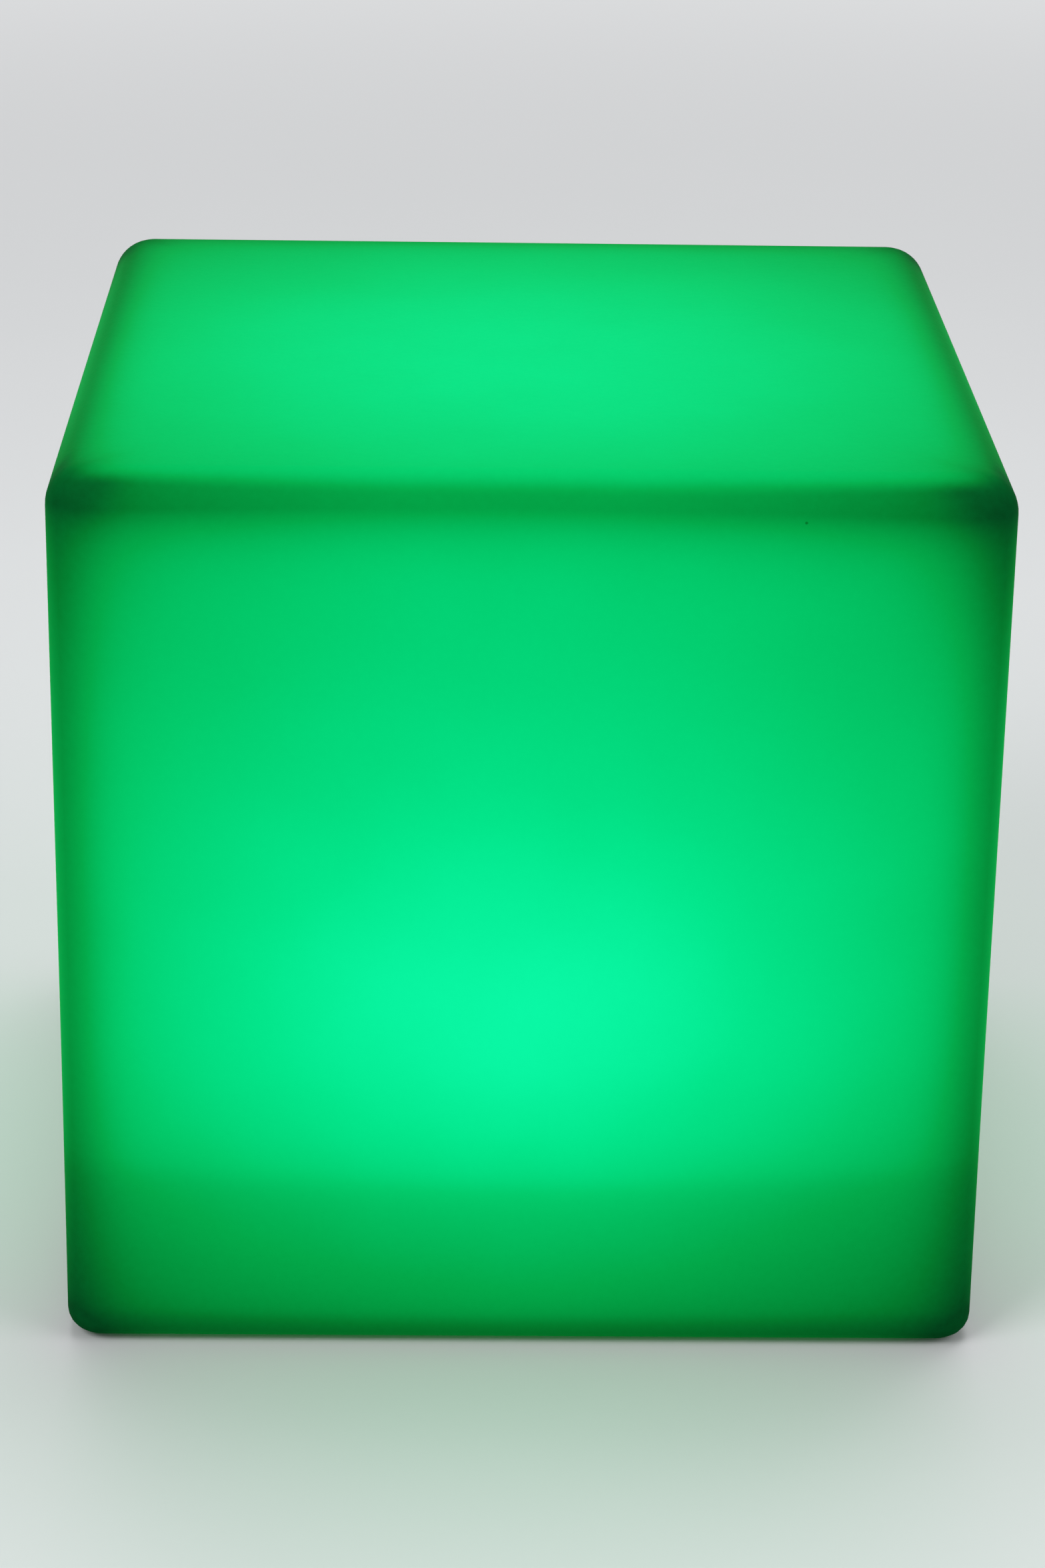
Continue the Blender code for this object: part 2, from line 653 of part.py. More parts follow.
def make_led_board(module):
    board = finish("led_board_mask", (0.85, 0.86, 0.84), 0.45)
    mesh = turned(
        "led_board", [(LED_BOARD_RADIUS, led_board_z), (LED_BOARD_RADIUS, led_board_top_z)], FINE_SIDES)
    plate = place("led_board", mesh, board, parent=module)
    seats = around(LED_SCREW_COUNT, led_screw_circle, LED_SCREW_TURN_SHARE)
    holes = cylinders(
        "led_board_holes", seats, board_hole, led_board_z - CUT_OVERRUN, led_board_top_z + CUT_OVERRUN,
        SCREW_SIDES)
    combine(plate, "DIFFERENCE", helper("led_board_holes", holes))
    steel = finish("board_screw_steel", (0.62, 0.63, 0.64), 0.3, 1.0)
    screw = screw_mesh(
        "board_screw", BOARD_SCREW_RADIUS, BOARD_SCREW_HEAD_RADIUS, BOARD_SCREW_HEAD_HEIGHT,
        BOARD_SCREW_LENGTH, BOARD_SCREW_SOCKET)
    upside_down = (2 * QUARTER_TURN, 0, 0)
    for i, (x, y) in enumerate(seats, 1):
        top = (x, y, led_board_top_z + SEAT_GAP)
        place(f"led_board_screw_{i}", screw, steel, top, upside_down, module)
    for i, side in enumerate((-1, 1), 1):
        top = (side * control_post_x, control_post_y, control_top_z + SEAT_GAP)
        place(f"control_board_screw_{i}", screw, steel, top, upside_down, module)
    chip = finish("led_chip", (0.90, 0.88, 0.70), 0.3)
    half = LED_SIDE / 2
    chip_mesh = block("led", (-half, -half, 0), (half, half, LED_HEIGHT))
    for i, (x, y) in enumerate(around(LED_COUNT, led_circle, LED_TURN_SHARE), 1):
        turn = math.atan2(y, x)
        place(f"led_{i}", chip_mesh, chip, (x, y, led_board_top_z + SEAT_GAP), (0, 0, turn), module)
    dark = finish("receiver_resin", (0.03, 0.03, 0.035), 0.25)
    receiver = block(
        "ir_receiver", (-RECEIVER_WIDTH / 2, -RECEIVER_DEPTH / 2, 0),
        (RECEIVER_WIDTH / 2, RECEIVER_DEPTH / 2, RECEIVER_HEIGHT))
    place("ir_receiver", receiver, dark, (0, 0, led_board_top_z + SEAT_GAP), parent=module)


def make_dome(module):
    frost = finish("dome_frost", (0.88, 0.90, 0.88), 0.4)
    skirt = spigot_inner - SEAT_GAP
    skirt_z = dome_flange_z - DOME_SKIRT_DROP
    inner = skirt - DOME_WALL
    steps = EDGE_STEPS - 2
    turns = [QUARTER_TURN * (i + 1) / (steps + 1) for i in range(steps)]
    outside = [(skirt * math.cos(t), dome_base_z + DOME_RISE * math.sin(t)) for t in reversed(turns)]
    inner_rise = DOME_RISE - DOME_WALL
    inside = [(inner * math.cos(t), dome_base_z + inner_rise * math.sin(t)) for t in turns]
    profile = outside + [
        (skirt, dome_base_z), (spigot_outer, dome_base_z), (spigot_outer, dome_flange_z),
        (skirt, dome_flange_z), (skirt, skirt_z), (inner, skirt_z), (inner, dome_base_z),
    ] + inside
    place("diffuser_dome", turned("diffuser_dome", profile, MEDIUM_SIDES), frost, parent=module)
    silicone = finish("dome_seal_silicone", (0.70, 0.70, 0.68), 0.6)
    low, high = dome_seal_z, dome_seal_z + DOME_SEAL_THICKNESS
    inner_edge = spigot_inner + SEAT_GAP
    ring = [(inner_edge, low), (spigot_outer, low), (spigot_outer, high), (inner_edge, high)]
    place("dome_seal", turned("dome_seal", ring, MEDIUM_SIDES, looped=True), silicone, parent=module)


# Service cover

def make_cover(module):
    white = finish("cover_plastic", (0.78, 0.79, 0.78), 0.5)
    edge = arc(
        housing_outer - COVER_ROUNDING, cover_under_z + COVER_ROUNDING, COVER_ROUNDING, -QUARTER_TURN, 0, 3)
    mesh = turned("service_cover", edge + [(housing_outer, cover_top_z)], FINE_SIDES)
    cover = place("service_cover", mesh, white, parent=module)

    def join(name, mesh, location=(0, 0, 0)):
        combine(cover, "UNION", helper(name, mesh, location))

    def cut(name, places, radius, sides, low=cover_under_z - BEZEL_HEIGHT - CUT_OVERRUN,
            high=cover_top_z + CUT_OVERRUN):
        mesh = cylinders(name, places, radius, low, high, sides)
        combine(cover, "DIFFERENCE", helper(name, mesh))

    root_z = cover_under_z + JOIN_DEPTH
    bezel = [(bezel_inner, bezel_z), (bezel_outer, bezel_z), (bezel_outer, root_z), (bezel_inner, root_z)]
    join("jack_bezel", turned("jack_bezel", bezel, MEDIUM_SIDES, looped=True), (jack_x, control_y, 0))
    guard_outer = guard_inner + GUARD_WALL
    guard_z = cover_under_z - GUARD_HEIGHT
    guard = [(guard_inner, guard_z), (guard_outer, guard_z), (guard_outer, root_z), (guard_inner, root_z)]
    join("button_guard", turned("button_guard", guard, MEDIUM_SIDES, looped=True), (button_x, control_y, 0))
    for name, side in (("hinge_ear_left", -1), ("hinge_ear_right", 1)):
        middle_x = jack_x + side * (ear_x + EAR_THICKNESS / 2)
        half = EAR_THICKNESS / 2
        upright = block(
            name, (middle_x - half, hinge_y - EAR_RADIUS, hinge_z),
            (middle_x + half, hinge_y + EAR_RADIUS, root_z))
        join(name, upright)
        tip = cross_bar(name + "_tip", EAR_RADIUS, EAR_THICKNESS, SMALL_SIDES)
        join(name + "_tip", tip, (middle_x, hinge_y, hinge_z))
    posts = [(side * control_post_x, control_post_y) for side in (-1, 1)]
    post_top = control_z - SEAT_GAP
    join("board_posts", cylinders(
        "board_posts", posts, CONTROL_POST_RADIUS, cover_top_z - JOIN_DEPTH, post_top, SMALL_SIDES))
    pilot_low = control_top_z + SEAT_GAP - BOARD_SCREW_LENGTH - SEAT_GAP
    cut("post_pilots", posts, board_hole, SCREW_SIDES, pilot_low, post_top + CUT_OVERRUN)
    cut("cover_screw_holes", around(COVER_SCREW_COUNT, cover_screw_circle), cover_hole, SMALL_SIDES)
    cut("button_hole", [(button_x, control_y)], BUTTON_RADIUS + BUTTON_PLAY, MEDIUM_SIDES)
    cut("jack_hole", [(jack_x, control_y)], JACK_BARREL_RADIUS + SEAT_GAP, SMALL_SIDES)
    cut("lens_hole", [(0, control_y)], LENS_RADIUS + SEAT_GAP, SMALL_SIDES)
    bore_length = 2 * (ear_x + EAR_THICKNESS + CUT_OVERRUN)
    pin_bore = cross_bar("hinge_bore", HINGE_PIN_RADIUS + HINGE_PIN_PLAY, bore_length, SCREW_SIDES)
    combine(cover, "DIFFERENCE", helper("hinge_bore", pin_bore, (jack_x, hinge_y, hinge_z)))

    rubber = finish("cover_seal_rubber", (0.05, 0.05, 0.055), 0.8)
    low, high = cover_top_z + SEAT_GAP, rim_z - SEAT_GAP
    inner, outer = housing_inner + SEAT_GAP, housing_outer - SEAT_GAP
    ring = [(inner, low), (outer, low), (outer, high), (inner, high)]
    place("cover_seal", turned("cover_seal", ring, FINE_SIDES, looped=True), rubber, parent=module)
    steel = finish("cover_screw_steel", (0.62, 0.63, 0.64), 0.3, 1.0)
    screw = screw_mesh(
        "cover_screw", COVER_SCREW_RADIUS, COVER_SCREW_HEAD_RADIUS, COVER_SCREW_HEAD_HEIGHT,
        COVER_SCREW_LENGTH, COVER_SCREW_SOCKET)
    for i, (x, y) in enumerate(around(COVER_SCREW_COUNT, cover_screw_circle), 1):
        place(f"cover_screw_{i}", screw, steel, (x, y, cover_under_z - SEAT_GAP), parent=module)


def make_button(module):
    """The button slides up +Z, and its lip rests on the cover."""
    grey = finish("button_rubber", (0.16, 0.17, 0.18), 0.6)
    face_z = cover_under_z - BUTTON_PROUD
    lip = BUTTON_RADIUS + BUTTON_LIP
    profile = arc(BUTTON_RADIUS - BUTTON_ROUNDING, BUTTON_ROUNDING, BUTTON_ROUNDING, -QUARTER_TURN, 0, 3)
    lip_low = lip_z - face_z
    lip_high = lip_low + BUTTON_LIP_THICKNESS
    profile += [
        (BUTTON_RADIUS, lip_low), (lip, lip_low), (lip, lip_high),
        (BUTTON_STEM_RADIUS, lip_high), (BUTTON_STEM_RADIUS, stem_top_z - face_z),
    ]
    mesh = turned("power_button", profile, MEDIUM_SIDES)
    place("power_button", mesh, grey, (button_x, control_y, face_z), parent=module)


def make_jack(module):
    black = finish("jack_plastic", (0.04, 0.04, 0.045), 0.4)
    flange_top = cover_under_z - SEAT_GAP
    mouth_z = flange_top - JACK_FLANGE_THICKNESS
    tail_z = control_z - SEAT_GAP
    bore_end = mouth_z + JACK_BORE_DEPTH
    profile = [
        (JACK_BARREL_RADIUS, tail_z), (JACK_BARREL_RADIUS, flange_top), (JACK_FLANGE_RADIUS, flange_top),
        (JACK_FLANGE_RADIUS, mouth_z), (JACK_BORE_RADIUS, mouth_z), (JACK_BORE_RADIUS, bore_end),
        (JACK_PIN_RADIUS, bore_end), (JACK_PIN_RADIUS, mouth_z + JACK_PIN_SETBACK),
    ]
    place("dc_jack", turned("dc_jack", profile, SMALL_SIDES), black, (jack_x, control_y, 0), parent=module)
    plate = finish("nut_plating", (0.66, 0.66, 0.64), 0.3, 1.0)
    low = cover_top_z + SEAT_GAP
    high = low + JACK_NUT_HEIGHT
    bore = JACK_BARREL_RADIUS + SEAT_GAP
    rings = [
        circle(bore, low, SMALL_SIDES), hexagon(JACK_NUT_RADIUS, low, SMALL_SIDES),
        hexagon(JACK_NUT_RADIUS, high, SMALL_SIDES), circle(bore, high, SMALL_SIDES),
    ]
    place("jack_nut", loft("jack_nut", rings, looped=True), plate, (jack_x, control_y, 0), parent=module)


def make_port_cover(module):
    """The flap swings about its hinge pin, which is the object's origin."""
    rubber = finish("flap_rubber", (0.08, 0.08, 0.085), 0.7)
    hinge = carrier("port_hinge", (jack_x, hinge_y, hinge_z))
    hinge.parent = module
    middle_y = control_y - hinge_y
    high = FLAP_THICKNESS / 2
    plug = bezel_inner - FLAP_PLUG_PLAY
    edge = arc(bezel_outer - FLAP_ROUNDING, FLAP_ROUNDING - high, FLAP_ROUNDING, -QUARTER_TURN, 0, 2)
    profile = edge + [(bezel_outer, high), (plug, high), (plug, high + FLAP_PLUG_HEIGHT)]
    rings = [[p + Vector((0, middle_y, 0)) for p in circle(r, z, MEDIUM_SIDES)] for r, z in profile]
    flap = place("port_cover", loft("port_cover", rings), rubber, parent=hinge)
    inner_half = HINGE_LENGTH / 2
    tongue = block("flap_tongue", (-inner_half, 0, -high), (inner_half, middle_y, high))
    tab_half = FLAP_TAB_WIDTH / 2
    tab_end = middle_y + bezel_outer + FLAP_TAB_LENGTH
    tab = block("flap_tab", (-tab_half, middle_y, -high), (tab_half, tab_end, high))
    knuckle = cross_bar("flap_knuckle", KNUCKLE_RADIUS, HINGE_LENGTH, SMALL_SIDES)
    bore = cross_bar(
        "flap_bore", HINGE_PIN_RADIUS + HINGE_PIN_PLAY, HINGE_LENGTH + 2 * CUT_OVERRUN, SCREW_SIDES)
    for operation, name, mesh in (
        ("UNION", "flap_tongue", tongue), ("UNION", "flap_tab", tab), ("UNION", "flap_knuckle", knuckle),
        ("DIFFERENCE", "flap_bore", bore),
    ):
        tool = helper(name, mesh)
        tool.parent = hinge
        combine(flap, operation, tool)
    steel = finish("hinge_pin_steel", (0.62, 0.63, 0.64), 0.3, 1.0)
    pin_length = 2 * (ear_x + EAR_THICKNESS + PIN_OVERHANG)
    pin = cross_bar("port_hinge_pin", HINGE_PIN_RADIUS, pin_length, SCREW_SIDES)
    place("port_hinge_pin", pin, steel, parent=hinge)


def make_lens(module):
    clear = finish("lens_clear", (0.70, 0.72, 0.70), 0.15)
    low = cover_under_z - LENS_PROUD
    lip = LENS_RADIUS + LENS_LIP
    high = control_z - LENS_BOARD_GAP
    profile = [
        (LENS_RADIUS, low), (LENS_RADIUS, lip_z), (lip, lip_z), (lip, lip_z + LENS_LIP_THICKNESS),
        (LENS_PIPE_RADIUS, lip_z + LENS_LIP_THICKNESS), (LENS_PIPE_RADIUS, high),
    ]
    mesh = turned("indicator_lens", profile, SMALL_SIDES)
    place("indicator_lens", mesh, clear, (0, control_y, 0), parent=module)


# What lies inside the housing

def make_control_board(module):
    green = finish("control_board_mask", (0.03, 0.22, 0.10), 0.4)
    half = CONTROL_LENGTH / 2
    mesh = block("control_board", (-half, control_far_y, control_z), (half, control_near_y, control_top_z))
    board = place("control_board", mesh, green, parent=module)
    posts = [(side * control_post_x, control_post_y) for side in (-1, 1)]
    holes = cylinders(
        "control_board_holes", posts, board_hole, control_z - CUT_OVERRUN, control_top_z + CUT_OVERRUN,
        SCREW_SIDES)
    combine(board, "DIFFERENCE", helper("control_board_holes", holes))
    black = finish("chip_epoxy", (0.03, 0.03, 0.035), 0.5)
    chip_y = control_y + CHIP_OFFSET_Y
    chip = block(
        "driver_chip", (-CHIP_LENGTH / 2, chip_y - CHIP_WIDTH / 2, control_top_z + SEAT_GAP),
        (CHIP_LENGTH / 2, chip_y + CHIP_WIDTH / 2, control_top_z + SEAT_GAP + CHIP_HEIGHT))
    place("driver_chip", chip, black, parent=module)
    metal = finish("switch_metal", (0.55, 0.55, 0.56), 0.35, 1.0)
    half = SWITCH_SIDE / 2
    body_z = plunger_z + PLUNGER_LENGTH
    body = block("button_switch", (-half, -half, body_z), (half, half, body_z + SWITCH_HEIGHT))
    switch = place("button_switch", body, metal, (button_x, control_y, 0), parent=module)
    plunger = cylinders(
        "switch_plunger", [(0, 0)], PLUNGER_RADIUS, plunger_z, body_z + JOIN_DEPTH, SCREW_SIDES)
    combine(switch, "UNION", helper("switch_plunger", plunger, (button_x, control_y, 0)))


def make_battery(module):
    grey = finish("cradle_plastic", (0.10, 0.10, 0.11), 0.6)
    cradle_mesh = block(
        "battery_cradle", (-cradle_half, PACK_NEAR_Y, cradle_base_z),
        (cradle_half, cradle_far_y, cradle_base_z + CRADLE_HEIGHT))
    cradle = place("battery_cradle", cradle_mesh, grey, parent=module)
    trough_length = 2 * (cradle_half - CRADLE_WALL)
    for i, y in enumerate(cell_y, 1):
        trough = cross_bar(f"cell_trough_{i}", CELL_RADIUS + SEAT_GAP, trough_length, MEDIUM_SIDES)
        combine(cradle, "DIFFERENCE", helper(f"cell_trough_{i}", trough, (0, y, cell_axis_z)))
    half = CELL_LENGTH / 2
    slot_half = trough_length / 2
    for i, side in enumerate((-1, 1), 1):
        ends = sorted((side * half, side * slot_half))
        low_z = cell_axis_z - STRIP_HEIGHT / 2 - SEAT_GAP
        slot = block(
            f"strip_slot_{i}", (ends[0], cell_y[0] - STRIP_MARGIN - SEAT_GAP, low_z),
            (ends[1], cell_y[1] + STRIP_MARGIN + SEAT_GAP, cell_axis_z))
        combine(cradle, "DIFFERENCE", helper(f"strip_slot_{i}", slot))

    sleeve = finish("cell_sleeve", (0.10, 0.28, 0.55), 0.35)
    waist = CELL_RADIUS - CELL_ROUNDING
    profile = [(waist, -half), (CELL_RADIUS, CELL_ROUNDING - half), (CELL_RADIUS, half - CELL_ROUNDING)]
    profile += [(waist, half), (CELL_CAP_RADIUS, half), (CELL_CAP_RADIUS, half + CELL_CAP_HEIGHT)]
    mesh = turned("battery_cell", profile, SMALL_SIDES)
    for i, y in enumerate(cell_y, 1):
        turn = QUARTER_TURN if i == 1 else -QUARTER_TURN
        place(f"battery_cell_{i}", mesh, sleeve, (0, y, cell_axis_z), (0, turn, 0), module)

    nickel = finish("strip_nickel", (0.68, 0.67, 0.63), 0.3, 1.0)
    near = half + CELL_CAP_HEIGHT + SEAT_GAP
    for i, side in enumerate((-1, 1), 1):
        ends = sorted((side * near, side * (near + STRIP_THICKNESS)))
        strip = block(
            f"contact_strip_{i}", (ends[0], cell_y[0] - STRIP_MARGIN, cell_axis_z - STRIP_HEIGHT / 2),
            (ends[1], cell_y[1] + STRIP_MARGIN, cell_axis_z + STRIP_HEIGHT / 2))
        place(f"contact_strip_{i}", strip, nickel, parent=module)

    foam = finish("pad_foam", (0.13, 0.13, 0.14), 0.9)
    pad_half = CELL_LENGTH / 2 - PAD_MARGIN
    pad = block(
        "foam_pad", (-pad_half, cell_y[0] - STRIP_MARGIN, cell_axis_z + CELL_RADIUS + SEAT_GAP),
        (pad_half, cell_y[1] + STRIP_MARGIN, deck_under_z - SEAT_GAP))
    place("foam_pad", pad, foam, parent=module)


def ribbon_end():
    """Where the ribbon passes the deck and meets the emitter board, as (x, y)."""
    return (0.0, control_far_y + RIBBON_EDGE_INSET - RIBBON_SHIFT)


def make_leads(module):
    red = finish("lead_red", (0.60, 0.04, 0.03), 0.45)
    black = finish("lead_black", (0.03, 0.03, 0.03), 0.45)
    out = CELL_LENGTH / 2 + CELL_CAP_HEIGHT + STRIP_THICKNESS + 2 * SEAT_GAP
    wire_z = cradle_base_z + CRADLE_HEIGHT + LEAD_RADIUS + SEAT_GAP
    down_to = control_top_z + SEAT_GAP
    board_x = CONTROL_LENGTH / 2 - LEAD_BOARD_INSET
    for name, side, material in (("battery_lead_red", 1, red), ("battery_lead_black", -1, black)):
        start = (side * out, cell_y[0] - LEAD_START_SHIFT, wire_z)
        end = (side * board_x, control_near_y - LEAD_EDGE_INSET, down_to)
        points = curve_points(start, (side * LEAD_BOW, 0, 0), end, (0, 0, LEAD_RISE))
        lead(name, points, LEAD_RADIUS, material, module)

    grey = finish("ribbon_grey", (0.35, 0.36, 0.37), 0.5)
    end_x, end_y = ribbon_end()
    start = (end_x, end_y + RIBBON_SHIFT, control_top_z + SEAT_GAP)
    end = (end_x, end_y, led_board_z - SEAT_GAP)
    points = curve_points(start, (0, 0, RIBBON_BOW), end, (0, 0, -RIBBON_BOW))
    half_width, half_depth = RIBBON_WIDTH / 2, RIBBON_THICKNESS / 2
    corners = ((-half_width, -half_depth), (half_width, -half_depth), (half_width, half_depth),
               (-half_width, half_depth))
    rings = [[p + Vector((x, y, 0)) for x, y in corners] for p in points]
    place("led_ribbon", loft("led_ribbon", rings), grey, parent=module)


def main():
    for old in list(bpy.data.objects):
        bpy.data.objects.remove(old, do_unlink=True)
    stool = carrier("stool")
    module = carrier("light_module")
    module.parent = stool
    make_shell(stool)
    make_feet(stool)
    make_inserts(stool)
    make_gasket(module)
    make_housing(module)
    make_module_screws(module)
    make_led_board(module)
    make_dome(module)
    make_cover(module)
    make_button(module)
    make_jack(module)
    make_port_cover(module)
    make_lens(module)
    make_control_board(module)
    make_battery(module)
    make_leads(module)


main()
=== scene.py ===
"""The lit cube stool on a pale studio floor: fine skin, materials, lamps and the photograph's camera."""

import math

import bmesh
import bpy
from mathutils import Matrix, Vector


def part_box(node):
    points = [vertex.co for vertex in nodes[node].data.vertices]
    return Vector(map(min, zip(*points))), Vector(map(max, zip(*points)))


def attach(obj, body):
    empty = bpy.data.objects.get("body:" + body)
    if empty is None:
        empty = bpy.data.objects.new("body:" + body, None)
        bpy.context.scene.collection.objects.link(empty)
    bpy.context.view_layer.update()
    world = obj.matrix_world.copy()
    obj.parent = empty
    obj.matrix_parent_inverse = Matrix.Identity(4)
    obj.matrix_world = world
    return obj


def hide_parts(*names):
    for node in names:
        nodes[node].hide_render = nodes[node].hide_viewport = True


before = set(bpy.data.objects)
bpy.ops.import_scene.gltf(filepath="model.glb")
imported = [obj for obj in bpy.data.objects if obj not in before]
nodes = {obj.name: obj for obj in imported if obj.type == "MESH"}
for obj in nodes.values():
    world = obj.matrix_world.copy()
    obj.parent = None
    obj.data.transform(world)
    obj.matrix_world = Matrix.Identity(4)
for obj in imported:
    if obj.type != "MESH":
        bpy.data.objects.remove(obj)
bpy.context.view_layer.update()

QUARTER_TURN = math.pi / 2

# The cube's sizes, as in the CAD source
HALF = 0.200
HEIGHT = 0.400
BASE_Z = 0.0012
WALL = 0.004
TOP_EDGE = 0.018
TOP_CORNER = 0.020
BASE_EDGE = 0.010
BASE_CORNER = 0.016
CEILING_Z = 0.072
HOLE_RADIUS = 0.0511
WELL_RADIUS = 0.09443
MOUTH_RADIUS = 0.09683
RIM_RADIUS = 0.006
CORNER_RADIUS = 0.004
FOOT_X = 0.157
FOOT_Y = 0.1825
DIMPLE_RADIUS = 0.0065
DIMPLE_TOP = 0.0023
CUT_OVERRUN = 0.001

# How far the faces pull in towards their edges, as a moulded face does, and how near the edges that is
FACE_CROWN = 0.0006
FACE_CROWN_POWER = 5
TOP_CROWN = 0.0005
TOP_CROWN_POWER = 6

# Steps of the skin
CORNER_STEPS = 12
FACE_STEPS = 20
TOP_ARC_STEPS = 12
ARC_STEPS = 6
INNER_ARC_STEPS = 4
LEVEL_STEPS = 20
TOP_RINGS = 9
SKIN_POINTS = 4 * (CORNER_STEPS + FACE_STEPS)

# Angles from which an edge counts as sharp, on the skin and on the CAD solids
SKIN_SHARP_ANGLE = math.radians(35)
SOLID_SHARP_ANGLE = math.radians(38)

# How near each other points of a CAD solid are one point
WELD_DISTANCE = 0.000001

# Where fractal noise mostly lies
NOISE_LOW = 0.3
NOISE_HIGH = 0.7

# Glow: colour by brightness
GLOW_TINTS = (
    (0.00, (0.000, 0.000, 0.000)),
    (0.06, (0.000, 0.006, 0.001)),
    (0.20, (0.000, 0.142, 0.015)),
    (0.40, (0.000, 0.342, 0.056)),
    (0.60, (0.000, 0.542, 0.136)),
    (0.80, (0.000, 0.742, 0.248)),
    (1.00, (0.003, 0.942, 0.410)),
)

# Painted glow of the sides: brightness by share of the height, and how it fades away from their middle
GLOW_BY_HEIGHT = (
    (0.0, 0.110), (0.025, 0.200), (0.05, 0.345), (0.1125, 0.459), (0.175, 0.567), (0.225, 0.748),
    (0.2875, 0.855), (0.3875, 0.933), (0.525, 0.874), (0.70, 0.727), (0.85, 0.657), (1.0, 0.690),
)
POOL_X = -0.0073
LOW_FADE = 14.65
HIGH_FADE = 9.98
LOW_FADE_Z = 0.15
HIGH_FADE_Z = 0.30
SHADOW_SAG = 0.26
SHADOW_SAG_Z = 0.06

# Painted glow of the top and of the base with its well
TOP_GLOW = 0.750
TOP_POOL_Y = -0.0296
TOP_FADE_X = 9.71
TOP_FADE_Y = 8.60
BASE_GLOW = 0.276
WELL_GLOW = 0.632
BASE_FADE = 8.0

# From how level a skin takes the top's glow, as the square of its normal's rise
LEVEL_SHARE = 0.285
LEVEL_SHARE_BY_X = -0.15
LEVEL_SHARE_BY_CORNER = 7.0

# Painted shade on the edges and corners: how wide and how deep
TOP_SIDE_WIDTH, TOP_SIDE_DEPTH = 0.018, 0.78
TOP_BACK_WIDTH, TOP_BACK_DEPTH = 0.020, 0.62
UPRIGHT_WIDTH, UPRIGHT_DEPTH = 0.0189, 0.530
END_WIDTH = 0.033
TOP_END_DROP, TOP_END_REACH = 0.024, 0.045
TOP_END_DEPTH, TOP_END_DEPTH_BY_X = 0.34, 0.35
TOP_END_LESS_ON_TOP = 0.7
BASE_END_REACH, BASE_END_DEPTH = 0.035, 0.47

# The dark band of painted shade under the top edge, never darker than a least share, and its darker ends
BAND_WIDTH, BAND_DEPTH = 0.0182, 0.9
BAND_POWER = 1.3
BAND_BY_CORNER = 15.5
BAND_LEAST, BAND_LEAST_BY_CORNER = 0.530, -4.6
BAND_SOFTNESS = 0.06
BAND_FRONT_Y, BAND_BEHIND_Y = -0.19, -0.17
BAND_BEHIND_SHARE = 0.88
BAND_END_PLACE, BAND_END_WIDTH = 0.018, 0.012
BAND_END_DROP, BAND_END_DEPTH = 0.018, 0.38

# Dark specks in the plastic: cells per metre, the share of cells without one, sizes and depth
SPECK_CELLS = 45
SPECK_RARITY = 0.93
SPECK_CORE, SPECK_EDGE = 0.02, 0.035
SPECK_DEPTH = 0.45

# Faint clouds in the plastic, as factors of its glow
CLOUD_DIM, CLOUD_BRIGHT = 0.985, 1.015

# The plastic, with hardly any gloss; its colour is painted shade: a dark green in place of its own
# white, so that the lamps hardly light it beside its glow
DARKENED_PLASTIC_DEEP = (0.001, 0.058, 0.012)
DARKENED_PLASTIC_PALE = (0.001, 0.070, 0.015)
PLASTIC_SMOOTH, PLASTIC_ROUGH = 0.48, 0.58
PLASTIC_GLOSS = 0.002

# Surroundings
BACKDROP = (0.80, 0.81, 0.82)
FLOOR = (0.62, 0.63, 0.64)
FLOOR_REACH = 30
FADE_START, FADE_END = 1.0, 4.0
WORLD_LIGHT = 0.40

# Lamps: name, place, what they are aimed at, size and power
LAMPS = (
    ("key_lamp", (-1.9, -1.7, 2.4), (0, 0, 0.2), (1.6, 1.6), 50),
    ("fill_lamp", (2.3, -1.2, 1.9), (0, 0, 0.2), (1.8, 1.8), 26),
    ("top_lamp", (0.2, 0.9, 3.0), (0, 0, 0.2), (2.2, 1.6), 50),
    ("under_lamp", (-0.7, -0.6, -1.8), (0, 0, 0), (1.6, 1.6), 40),
)

# The photograph's camera: angles in radians, and a lens of 5970 px on a side of 2352 px
CAMERA_YAW = 0.02045
CAMERA_PITCH = 0.38526
CAMERA_ROLL = 0.01615
CAMERA_PLACE = (-0.03413, -1.73248, 0.88923)
CAMERA_LENS = 91.376
CAMERA_SENSOR = 36


# Node building

class Number:
    """A number in a node tree: plain arithmetic on it adds the nodes that work it out."""

    def __init__(self, graph, socket):
        self.graph = graph
        self.socket = socket

    def __add__(self, other):
        return self.graph.math("ADD", self, other)

    def __sub__(self, other):
        return self.graph.math("SUBTRACT", self, other)

    def __rsub__(self, other):
        return self.graph.math("SUBTRACT", other, self)

    def __mul__(self, other):
        return self.graph.math("MULTIPLY", self, other)

    def __truediv__(self, other):
        return self.graph.math("DIVIDE", self, other)

    def __pow__(self, other):
        return self.graph.math("POWER", self, other)

    def __gt__(self, other):
        return self.graph.math("GREATER_THAN", self, other)

    def __lt__(self, other):
        return self.graph.math("LESS_THAN", self, other)

    def __abs__(self):
        return self.graph.math("ABSOLUTE", self)

    def at_least(self, low):
        return self.graph.math("MAXIMUM", self, low)

    def squared(self):
        return self * self

    def exponential(self):
        return self.graph.math("EXPONENT", self)


